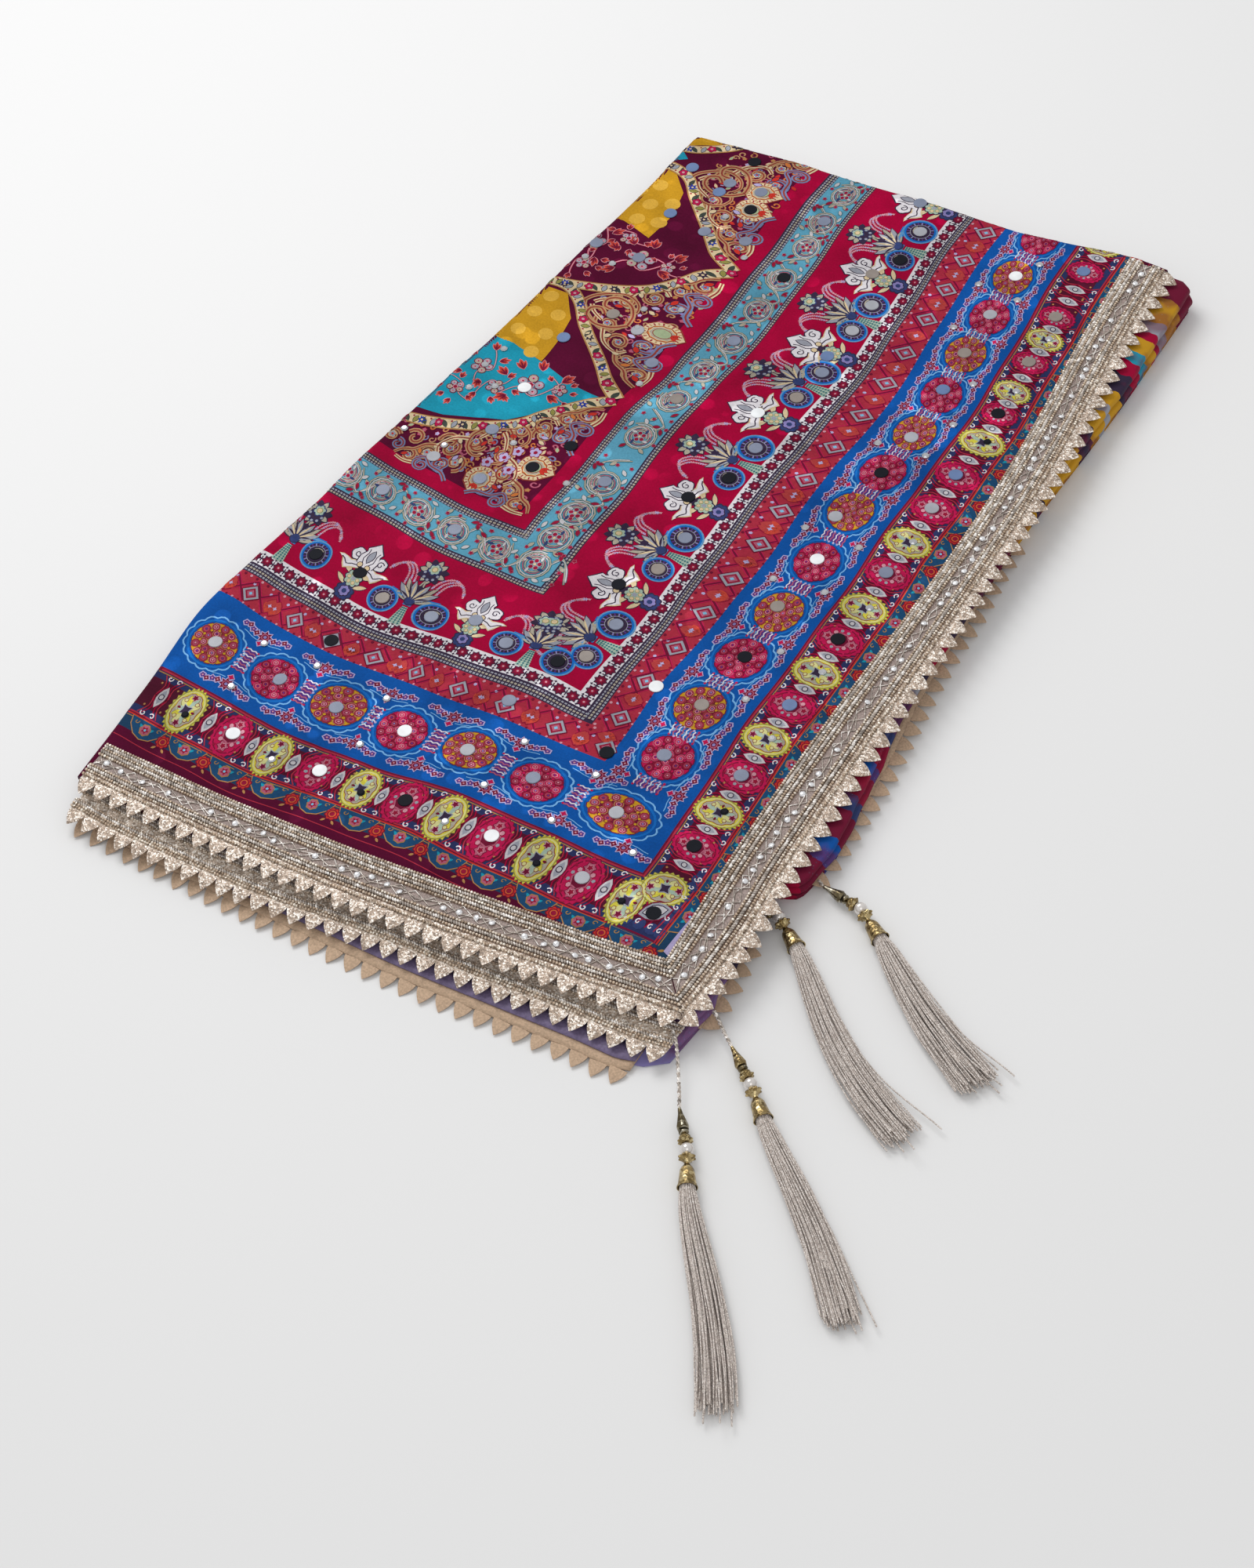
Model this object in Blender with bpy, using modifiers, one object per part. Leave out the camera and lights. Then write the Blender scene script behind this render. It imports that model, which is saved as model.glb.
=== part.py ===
# Folded dupatta stole lying flat: printed satin, gilt lace with pointed teeth, four beaded tassels.
# X runs toward the long laced hem, Y away from the short laced hem, Z up.
# The origin is the middle of the flat underside. The tables are in millimetres.

import math

import bmesh
import bpy
from mathutils import Matrix, Vector

MM = 0.001
CLOTH_WALL = 1.2
SEAM_GAP = 0.3
LAY_GAP = 0.5
PLY_GAP = 0.7
FOLD_RADIUS = 3.5
LACE_WALL = 1.0
RIDGE_HEIGHT = 0.5
TOOTH_PITCH = 11.0
TOOTH_DEPTH = 9.0
TOOTH_WALL = 0.8
PANEL_COLUMNS = 17
PANEL_ROWS = 28
PLY_COLUMNS = 15
STRAND_COLUMNS = 5
STRAND_ROWS = 4
SKIRT_HEAD_RADIUS = 3.9
AXIS_HEIGHT = 5.6
TURN_STEPS = 10

# Height of the top cloth above the surface it lies on: y, height.
STACK_HEIGHT = (
    (-330, 15.6),
    (-283, 16.0),
    (-200, 17.6),
    (-100, 18.8),
    (0, 19.8),
    (120, 21.0),
    (220, 22.0),
    (330, 22.8),
)

# Soft troughs and ridges: x0, y0, x1, y1, half width, height.
CREASES = (
    (-205, -66, -95, -88, 23, -1.3),
    (-196, -16, -120, -46, 23, 1.2),
    (-190, -150, -150, -262, 19, 1.3),
    (-160, -120, -112, -262, 18, -1.0),
    (-70, -180, -30, -262, 20, -0.9),
    (-20, -150, 10, -250, 20, 0.8),
    (-176, 90, -60, 60, 20, -1.1),
    (-170, 170, -40, 205, 22, 0.9),
    (-30, 300, 10, 120, 20, 0.9),
    (60, 305, 50, 80, 20, -0.9),
    (20, 40, 60, -110, 22, -0.9),
    (110, 120, 118, -60, 20, 0.8),
    (95, -100, 128, -235, 20, -0.9),
    (-110, 10, -20, -30, 20, 0.8),
)

# Edges of the folded pack: position along the side, then the edge.
LEFT_EDGE = (
    (-303, -190),
    (-263, -192.5),
    (-212, -196),
    (-166, -200.5),
    (-118, -196),
    (-68, -190),
    (-12, -184),
    (45, -177.5),
    (113, -169),
    (171, -163.5),
    (229, -157),
    (278, -154),
    (305, -152.5),
)
BACK_EDGE = (
    (-154, 299),
    (-121, 301.5),
    (-77, 304),
    (-39, 304),
    (14, 306),
    (68, 306),
    (115, 312),
    (139, 315),
    (168, 314),
)
LONG_TIPS = (
    (-286, 184),
    (-276, 186),
    (-246, 189),
    (-216, 190),
    (-186, 188),
    (-126, 187),
    (-66, 186),
    (54, 185),
    (114, 184),
    (174, 180),
    (234, 174),
    (314, 170),
)
LONG_INNER = (
    (-250, 152),
    (-186, 149),
    (-126, 148.5),
    (-66, 149.5),
    (-6, 151.5),
    (54, 152.5),
    (114, 151.5),
    (174, 147.5),
    (234, 141.5),
    (314, 137),
)
SHORT_TIPS = (
    (-186, -302),
    (-140, -303),
    (-66, -303),
    (-6, -301),
    (54, -297.5),
    (114, -292),
    (156, -287.5),
    (184, -284),
)
SHORT_INNER = (
    (-190, -268),
    (-126, -268.5),
    (-66, -267),
    (-6, -264),
    (54, -259),
    (114, -254.5),
    (152, -250),
)
SECOND_TIPS = (
    (-180, -317),
    (-154, -319),
    (-68, -318),
    (0, -312),
    (72, -308),
    (115, -305),
    (161, -303),
    (181, -300),
)
THIRD_TIPS = (
    (-180, -319),
    (-118, -322),
    (-50, -323.5),
    (23, -323.5),
    (87, -321),
    (132, -319),
    (153, -319),
    (168, -315),
)
PRINTED_FOLD = (
    (-275, 182),
    (-262, 185),
    (-250, 182),
    (-225, 181),
    (-212, 180),
    (-206, 172),
    (-199, 160),
    (-191, 158),
    (-184, 167),
    (-178, 186),
    (-168, 190),
    (-141, 192),
    (-92, 186),
    (-42, 178.5),
    (40, 176.5),
    (111, 176),
    (181, 179),
    (231, 180),
    (310, 180),
)
LOWER_TIPS = (
    (-172, 197),
    (-150, 197),
    (-118, 196),
    (-89, 195),
    (-47, 190),
    (-3, 186),
    (35, 185),
    (65, 182),
    (96, 181),
)
CORNER_TIPS = (
    (-272, 192),
    (-255, 191.5),
    (-240, 190),
    (-210, 186.5),
)
PLY_STATIONS = (
    -273, -262, -250, -236, -223, -212, -206, -199, -191, -184, -178, -168,
    -150, -130, -108, -86, -64, -42, -20, 2, 24, 46, 68, 90, 112, 134,
    156, 178, 200, 222, 244, 266, 287, 309,
)

# Each tassel, lying on the surface: heading of the beads and of the bell in degrees,
# bell mouth, the far end of the skirt, its width there and how far it bows to its left.
TASSELS = (
    ("1", -50.7, -59.0, 224.3, -353.5, 296.5, -449.5, 24.0, 4.0),
    ("2", -37.5, -43.5, 237.3, -303.1, 325.5, -382.5, 22.0, 4.0),
    ("3", -14.0, -36.0, 201.4, -206.6, 302.5, -280.5, 24.0, -8.0),
    ("4", -9.0, -34.5, 236.0, -182.4, 321.0, -237.0, 27.5, -3.5),
)

# Turned pieces of a tassel: radius and distance from the pearl's middle toward the pack.
PEARL_RADIUS = 3.5
BELL_PROFILE = (
    (0.0, -9.4),
    (1.7, -9.4),
    (2.9, -10.2),
    (3.7, -12.0),
    (4.0, -15.0),
    (4.4, -18.6),
    (5.2, -21.5),
    (0.0, -21.5),
)
LOWER_CAP_PROFILE = (
    (0.0, -3.8),
    (2.2, -3.8),
    (4.6, -4.6),
    (4.4, -5.4),
    (2.6, -6.4),
    (1.5, -7.6),
    (1.8, -9.1),
    (0.0, -9.1),
)
UPPER_CAP_PROFILE = (
    (0.0, 8.3),
    (1.6, 8.3),
    (3.0, 7.0),
    (2.6, 6.2),
    (4.2, 4.8),
    (3.6, 3.9),
    (0.0, 3.8),
)
SPACER_PROFILE = (
    (0.0, 11.0),
    (1.5, 11.0),
    (2.6, 10.3),
    (2.6, 9.3),
    (1.5, 8.6),
    (0.0, 8.6),
)
CONE_PROFILE = (
    (0.0, 24.0),
    (1.0, 24.0),
    (1.4, 20.5),
    (3.3, 13.0),
    (2.9, 11.3),
    (0.0, 11.3),
)

# Thread cords from the pack to the tassels: x, y, z.
CORD_RADIUS = 1.1
CORD_1_ROUTE = (
    (173.0, -281.0, 10.9),
    (179.0, -287.0, 11.0),
    (185.5, -296.5, 8.4),
    (192.5, -307.5, 6.2),
)
CORD_2_ROUTE = (
    (185.6, -261.4, 9.4),
    (190.5, -265.0, 8.6),
    (197.0, -269.8, 6.6),
)
CORD_4_ROUTE = ((190.9, -164.9, 6.6),)

COLOURS = {
    "satin": ((0.42, 0.02, 0.08), 0.38, 0.0),
    "plies": ((0.30, 0.05, 0.14), 0.45, 0.0),
    "gilt_lace": ((0.62, 0.47, 0.30), 0.35, 0.55),
    "lace_reverse": ((0.60, 0.41, 0.26), 0.8, 0.0),
    "cloth_reverse": ((0.30, 0.23, 0.34), 0.55, 0.0),
    "thread": ((0.60, 0.50, 0.43), 0.5, 0.3),
    "antique_gold": ((0.50, 0.33, 0.10), 0.3, 1.0),
    "pearl": ((0.82, 0.80, 0.76), 0.15, 0.3),
}


def read(table, at):
    """Value of a two-column table at a position, rounded smoothly through its rows."""
    if at <= table[0][0]:
        return table[0][1]
    if at >= table[-1][0]:
        return table[-1][1]
    last = len(table) - 1
    i = next(k for k in range(last) if at <= table[k + 1][0])

    def slope(k):
        low, high = max(k - 1, 0), min(k + 1, last)
        return (table[high][1] - table[low][1]) / (table[high][0] - table[low][0])

    (x0, y0), (x1, y1) = table[i], table[i + 1]
    span = x1 - x0
    t = (at - x0) / span
    rise = (y1 - y0) / span
    first, second = slope(i), slope(i + 1)
    if rise == 0:
        first = second = 0.0
    limit = 2.5 * abs(rise)
    first = max(-limit, min(limit, first))
    second = max(-limit, min(limit, second))
    return (
        y0 * (1 + 2 * t) * (1 - t) ** 2
        + first * span * t * (1 - t) ** 2
        + y1 * t * t * (3 - 2 * t)
        + second * span * t * t * (t - 1)
    )


def crease(row, x, y):
    """Height that one crease adds: a soft ridge that fades at both ends."""
    x0, y0, x1, y1, half, height = row
    dx, dy = x1 - x0, y1 - y0
    t = ((x - x0) * dx + (y - y0) * dy) / (dx * dx + dy * dy)
    near = max(0.0, min(1.0, t))
    away = math.hypot(x - x0 - near * dx, y - y0 - near * dy)
    fade = 0.35 + 0.65 * math.sin(math.pi * near)
    return height * fade * math.exp(-((away / half) ** 2))


def cloth_height(x, y):
    """Top surface of the upper cloth."""
    total = read(STACK_HEIGHT, y)
    total += sum(crease(row, x, y) for row in CREASES)
    side = max(0.0, min(1.0, (x - 120) / 70))
    return total - 0.9 * side * side * (3 - 2 * side)


def material(name):
    colour, rough, metal = COLOURS[name]
    made = bpy.data.materials.new(name)
    made.use_nodes = True
    shader = made.node_tree.nodes["Principled BSDF"]
    shader.inputs["Base Color"].default_value = (*colour, 1.0)
    shader.inputs["Roughness"].default_value = rough
    shader.inputs["Metallic"].default_value = metal
    made.diffuse_color = (*colour, 1.0)
    return made


def add_object(name, mesh, look, smooth=True):
    mesh.materials.append(materials[look])
    obj = bpy.data.objects.new(name, mesh)
    collection.objects.link(obj)
    if smooth:
        mesh.shade_smooth()
        mesh.set_sharp_from_angle(angle=math.radians(40))
    return obj


def mesh_of(name, points, faces):
    """Mesh from points in millimetres."""
    mesh = bpy.data.meshes.new(name)
    mesh.from_pydata([Vector(p) * MM for p in points], [], faces)
    mesh.validate()
    mesh.update()
    return mesh


def add_sheet(name, points, faces, wall, look):
    """Cloth: its upper surface, thickened downward by the wall."""
    a, b, c = (Vector(points[k]) for k in faces[0][:3])
    if (b - a).cross(c - b).z < 0:
        faces = [face[::-1] for face in faces]
    obj = add_object(name, mesh_of(name, points, faces), look)
    thick = obj.modifiers.new("wall", "SOLIDIFY")
    thick.thickness = wall * MM
    thick.offset = -1.0
    thick.use_even_offset = True
    thick.use_quality_normals = True
    return obj


def plan_point(u, v, left, right, front, back):
    """Point of the pack's plan at shares u across and v along, between four edges."""
    x = left(0) + u * (right(0) - left(0))
    y = front(x) + v * (back(x) - front(x))
    for _ in range(5):
        x = left(y) + u * (right(y) - left(y))
        y = front(x) + v * (back(x) - front(x))
    return x, y


def grid_faces(columns, rows, first=0):
    """Quads of a grid of points, facing up, with rows along Y."""
    wide = columns + 1
    return [
        (
            first + j * wide + i,
            first + j * wide + i + 1,
            first + (j + 1) * wide + i + 1,
            first + (j + 1) * wide + i,
        )
        for j in range(rows)
        for i in range(columns)
    ]


# Top panel: upper cloth that rolls round the left and back folds.


def panel_left(y):
    return read(LEFT_EDGE, y) + FOLD_RADIUS


def panel_right(y):
    return read(LONG_TIPS, y) - TOOTH_DEPTH - 1.2


def panel_front(x):
    return read(SHORT_TIPS, x) + TOOTH_DEPTH + 1.2


def panel_back(x):
    return read(BACK_EDGE, x) - FOLD_RADIUS


def build_top_panel():
    columns, rows = PANEL_COLUMNS, PANEL_ROWS
    edges = (panel_left, panel_right, panel_front, panel_back)
    points = []
    for j in range(rows + 1):
        for i in range(columns + 1):
            x, y = plan_point(i / columns, j / rows, *edges)
            points.append((x, y, cloth_height(x, y)))
    faces = grid_faces(columns, rows)
    wide = columns + 1
    edge = [j * wide for j in range(rows + 1)]
    edge += [rows * wide + i for i in range(1, columns + 1)]
    outward = [(-1.0, 0.0)] * rows + [(-0.76, 0.76)] + [(0.0, 1.0)] * columns
    before = edge
    for k in range(1, 7):
        turn = math.pi * k / 6
        ring = []
        for index, (nx, ny) in zip(edge, outward):
            x, y, z = points[index]
            out = FOLD_RADIUS * math.sin(turn)
            drop = FOLD_RADIUS * (1 - math.cos(turn))
            ring.append(len(points))
            points.append((x + nx * out, y + ny * out, z - drop))
        for a in range(len(edge) - 1):
            faces.append((before[a], before[a + 1], ring[a + 1], ring[a]))
        before = ring
    add_sheet("top_panel", points, faces, CLOTH_WALL, "satin")


# Hidden layers: every ply under the top cloth as one rounded solid, its folds showing at the edges.


def ply_left(y):
    return read(LEFT_EDGE, y) + FOLD_RADIUS + 1.3


def ply_right(y):
    return min(read(PRINTED_FOLD, y) - 4.0, read(LONG_TIPS, y) - 12.0)


def ply_front(x):
    return read(SECOND_TIPS, x) + 28.0


def ply_back(x):
    return read(BACK_EDGE, x) - FOLD_RADIUS - 1.3


def bulge(top, bottom, out, depth, share):
    """Rounded fold edge between two heights: outward distance and height, top to bottom."""
    span = top - bottom
    return [
        (out - depth * share, top - 0.16 * span),
        (out, top - 0.5 * span),
        (out - depth * share, bottom + 0.16 * span),
    ]


def side_section(side, x, y, top):
    """Section of the hidden layers at one edge: outward distance and height, top to bottom."""
    sway = 0.7 * math.sin(0.045 * x + 0.031 * y) + 0.4 * math.sin(0.11 * y - 0.07 * x)
    if side == "front":
        third = read(THIRD_TIPS, x)
        middle = ply_front(x) - (third + 25.0)
        lowest = ply_front(x) - (third + 13.5)
        section = [(0.0, top)] + bulge(top, 9.6, 0.8, 2.5, 0.35)
        section += [(-1.2, 7.6)] + bulge(8.0, 4.8, middle, 1.4, 0.5)
        section += [(middle - 3.0, 4.6)] + bulge(4.4, 1.6, middle, 1.4, 0.5)
        section += [(middle - 2.0, 1.4), (lowest - 0.4, 1.35), (lowest, 0.7)]
        section += [(lowest - 0.3, 0.2), (lowest - 1.0, 0.0)]
        return section
    if side == "right":
        nose = read(PRINTED_FOLD, y) - ply_right(y)
        step = (top - 5.6) / 2
        section = [(0.0, top)] + bulge(top, top - step, nose - 1.2 + sway, 2.2, 0.5)
        section += [(nose - 4.0, top - step)]
        section += bulge(top - step, 5.6, nose, 2.2, 0.5)
        section += [(nose - 9.0, 4.4)] + bulge(3.4, 1.9, nose - 2.0, 1.6, 0.5)
        section += [(nose - 3.2, 1.8), (nose - 2.6, 1.3), (nose - 2.2, 0.8)]
        section += [(nose - 2.4, 0.3), (nose - 3.2, 0.0)]
        return section
    shelf = top + 1.6 - 7.5
    step = shelf / 3
    reach = 4.0 + sway
    section = [(0.0, top)] + [(0.2, top - 1.0), (0.3, top - 3.0), (0.2, shelf + 1.0)]
    section += [(0.0, shelf)] + bulge(shelf, 2 * step, reach, 2.0, 0.5)
    section += [(reach - 3.0, 2 * step)] + bulge(2 * step, step, reach - 0.8, 2.0, 0.5)
    section += [(reach - 3.4, step), (reach - 1.4, 0.8 * step), (reach - 0.6, 0.5 * step)]
    section += [(reach - 1.2, 0.16 * step), (reach - 2.6, 0.0)]
    return section


def build_hidden_layers():
    columns, rows = PLY_COLUMNS, len(PLY_STATIONS) - 1
    edges = (ply_left, ply_right, ply_front, ply_back)
    first, last = PLY_STATIONS[0], PLY_STATIONS[-1]
    points = []
    for station in PLY_STATIONS:
        for i in range(columns + 1):
            v = (station - first) / (last - first)
            x, y = plan_point(i / columns, v, *edges)
            points.append((x, y, cloth_height(x, y) - CLOTH_WALL - PLY_GAP))
    faces = grid_faces(columns, rows)
    wide = columns + 1
    ring = [(i, ("front",)) for i in range(wide)]
    ring[0] = (0, ("left", "front"))
    ring[-1] = (columns, ("front", "right"))
    ring += [(j * wide + columns, ("right",)) for j in range(1, rows)]
    ring += [(rows * wide + columns, ("right", "back"))]
    ring += [(rows * wide + i, ("back",)) for i in range(columns - 1, 0, -1)]
    ring += [(rows * wide, ("back", "left"))]
    ring += [(j * wide, ("left",)) for j in range(rows - 1, 0, -1)]
    outward = {"left": (-1, 0), "right": (1, 0), "front": (0, -1), "back": (0, 1)}
    sections = []
    for index, sides in ring:
        x, y, z = points[index]
        made = [side_section(side, x, y, z) for side in sides]
        ease = 1.0 if len(sides) == 1 else 0.72
        rows_out = []
        for level in zip(*made):
            px, py, height = x, y, 0.0
            for side, (out, at) in zip(sides, level):
                px += outward[side][0] * out * ease
                py += outward[side][1] * out * ease
                height += at / len(sides)
            if "front" in sides:
                height = level[sides.index("front")][1]
            rows_out.append((px, py, height))
        sections.append(rows_out)
    before = [index for index, _ in ring]
    count = len(ring)
    for level in range(1, len(sections[0])):
        after = []
        for section in sections:
            after.append(len(points))
            points.append(section[level])
        for a in range(count):
            b = (a + 1) % count
            faces.append((before[b], before[a], after[a], after[b]))
        before = after
    faces.append(tuple(reversed(before)))
    add_object("hidden_layers", mesh_of("hidden_layers", points, faces), "plies")


# Lace: ribbed bands on the cloth, with pointed teeth along their outer edge.

# Section across a lace band: share of its width, then 1 on a raised bead row.
LACE_SECTION = (
    (0.0, 0),
    (0.07, 1),
    (0.19, 1),
    (0.26, 0),
    (0.60, 0),
    (0.68, 1),
    (0.80, 1),
    (0.88, 0),
    (1.0, 0),
)


def add_band(name, stations, inner, outer, surface, look, ribbed=True):
    """Strip between two lines, one section for each station, lying on a surface."""
    section = LACE_SECTION if ribbed else ((0.0, 0), (0.34, 0), (0.67, 0), (1.0, 0))
    points = []
    for station in stations:
        (x0, y0), (x1, y1) = inner(station), outer(station)
        for share, raised in section:
            x, y = x0 + (x1 - x0) * share, y0 + (y1 - y0) * share
            points.append((x, y, surface(x, y) + LACE_WALL + RIDGE_HEIGHT * raised))
    faces = grid_faces(len(section) - 1, len(stations) - 1)
    return add_sheet(name, points, faces, LACE_WALL, look)


def spread(start, end, count):
    return [start + (end - start) * k / count for k in range(count + 1)]


def add_teeth(name, count, back, root, tip, surface, droop, look):
    """Pointed teeth on a narrow strip; each line gives a point for a share of the length."""
    points, faces = [], []
    for k in range(count + 1):
        share = k / count
        for line, low in ((back, 0.0), (root, 0.25 * droop)):
            x, y = line(share)
            points.append((x, y, surface(x, y) + TOOTH_WALL - low))
    for k in range(count):
        x, y = tip((k + 0.5) / count)
        points.append((x, y, surface(x, y) + TOOTH_WALL - droop))
        a, b = 2 * k, 2 * k + 2
        faces.append((a, a + 1, b + 1, b))
        faces.append((a + 1, 2 * (count + 1) + k, b + 1))
    return add_sheet(name, points, faces, TOOTH_WALL, look)


def lace_surface(x, y):
    return cloth_height(x, y) + LAY_GAP


def build_top_lace():
    # Long band, its front end cut along the mitre.
    mitre_in, mitre_out = (152.0, -249.0), (176.4, -276.4)

    def inner(y):
        y = max(y, mitre_in[1] + 0.5)
        return read(LONG_INNER, y), y

    def outer(y):
        share = min(1.0, max(0.0, (y - mitre_in[1]) / (60 - mitre_in[1])))
        low = mitre_out[1] + 0.4
        y = low + (y - mitre_in[1]) * (60 - low) / (60 - mitre_in[1]) if y < 60 else y
        return read(LONG_TIPS, y) - TOOTH_DEPTH, y

    stations = spread(-249.0, 309.5, 28)
    add_band("lace_long", stations, inner, outer, lace_surface, "gilt_lace")

    # Short band, its right end cut along the same mitre.
    def short_inner(x):
        x = min(x, mitre_in[0] - 0.6)
        return x, read(SHORT_INNER, x)

    def short_outer(x):
        if x > 0:
            x = x * (mitre_out[0] - 0.6) / mitre_in[0]
        return x, read(SHORT_TIPS, x) + TOOTH_DEPTH

    stations = spread(152.0, -186.5, 17)
    add_band("lace_short", stations, short_inner, short_outer, lace_surface, "gilt_lace")

    def long_line(extra):
        def line(share):
            y = 309.0 + share * (-280.0 - 309.0)
            return read(LONG_TIPS, y) - TOOTH_DEPTH + extra, y

        return line

    add_teeth(
        "teeth_long",
        round(589.0 / TOOTH_PITCH),
        lambda s: long_line(SEAM_GAP)(1 - s),
        lambda s: long_line(1.3)(1 - s),
        lambda s: long_line(TOOTH_DEPTH)(1 - s),
        lace_surface,
        1.0,
        "gilt_lace",
    )

    def short_line(extra):
        def line(share):
            x = -186.5 + share * (174.5 + 186.5)
            return x, read(SHORT_TIPS, x) + TOOTH_DEPTH - extra

        return line

    add_teeth(
        "teeth_short",
        32,
        lambda s: short_line(SEAM_GAP)(1 - s),
        lambda s: short_line(1.3)(1 - s),
        lambda s: short_line(TOOTH_DEPTH)(1 - s),
        lace_surface,
        1.0,
        "gilt_lace",
    )


def build_lower_edges():
    # Second lace, showing past the top lace on the short side.
    def second(extra):
        def line(share):
            x = 177.0 + share * (-184.5 - 177.0)
            return x, read(SECOND_TIPS, x) + extra

        return line

    def second_level(x, y):
        return 7.95

    stations = spread(0.0, 1.0, 17)
    band = (second(25.6), second(TOOTH_DEPTH))
    add_band("second_lace", stations, *band, second_level, "gilt_lace")
    lines = (second(TOOTH_DEPTH - 0.7), second(TOOTH_DEPTH - 1.7), second(0.0))
    add_teeth("second_teeth", 32, *lines, second_level, 1.6, "gilt_lace")

    # Reverse side of the lowest lace with the cloth's reverse above it.
    def third(extra, start=164.0, end=-180.0):
        def line(share):
            x = start + share * (end - start)
            return x, read(THIRD_TIPS, x) + extra

        return line

    def third_level(x, y):
        return 1.7

    def reverse_level(x, y):
        return 3.05

    band = (third(23.6), third(TOOTH_DEPTH))
    add_band("third_lace", stations, *band, third_level, "lace_reverse", False)
    lines = (third(TOOTH_DEPTH - 0.7), third(TOOTH_DEPTH - 1.7), third(0.0))
    add_teeth("third_teeth", 31, *lines, third_level, 1.1, "lace_reverse")
    band = (third(23.6), third(14.0))
    add_band("lower_cloth", stations, *band, reverse_level, "cloth_reverse", False)

    # Reverse side of a lower lace along the long side, in the groove between two folds.
    def edge_line(tips, extra, start, end, fold=None):
        def line(share):
            y = start + share * (end - start)
            x = read(tips, y) - extra
            if fold is not None:
                x = min(x - 1.2, read(PRINTED_FOLD, y) - fold)
            return x, y

        return line

    def groove_level(x, y):
        return 3.95

    for name, tips, count, start, end in (
        ("lower_teeth", LOWER_TIPS, 23, -168.0, 93.0),
        ("corner_teeth", CORNER_TIPS, 5, -271.0, -214.0),
    ):
        add_teeth(
            name,
            count,
            edge_line(tips, TOOTH_DEPTH, start, end, 4.8),
            edge_line(tips, TOOTH_DEPTH, start, end),
            edge_line(tips, 0.0, start, end),
            groove_level,
            1.6,
            "lace_reverse",
        )


# Tassels: turned beads and bell on one axis, then a skirt of separate strands.


def heading(degrees):
    return Vector((math.cos(math.radians(degrees)), math.sin(math.radians(degrees)), 0))


def add_turned(name, profile, centre, degrees, look):
    """Profile turned about an axis that points back along the heading."""
    points = [(r, 0.0, z) for r, z in profile]
    mesh = bpy.data.meshes.new(name)
    edges = [(k, k + 1) for k in range(len(points) - 1)]
    mesh.from_pydata([Vector(p) * MM for p in points], edges, [])
    obj = add_object(name, mesh, look)
    turn = obj.modifiers.new("turn", "SCREW")
    turn.steps = turn.render_steps = TURN_STEPS
    turn.use_merge_vertices = True
    turn.merge_threshold = 0.00001
    turn.use_smooth_shade = True
    back = -heading(degrees)
    side = Vector((0, 0, 1)).cross(back)
    axes = Matrix((side, back.cross(side), back)).transposed()
    obj.matrix_world = Matrix.Translation(centre * MM) @ axes.to_4x4()
    return obj


def disc_point(a, b, radius):
    """Square coordinates from -1 to 1 spread over a disc."""
    return (
        radius * a * math.sqrt(1 - b * b / 2),
        radius * b * math.sqrt(1 - a * a / 2),
    )


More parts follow.
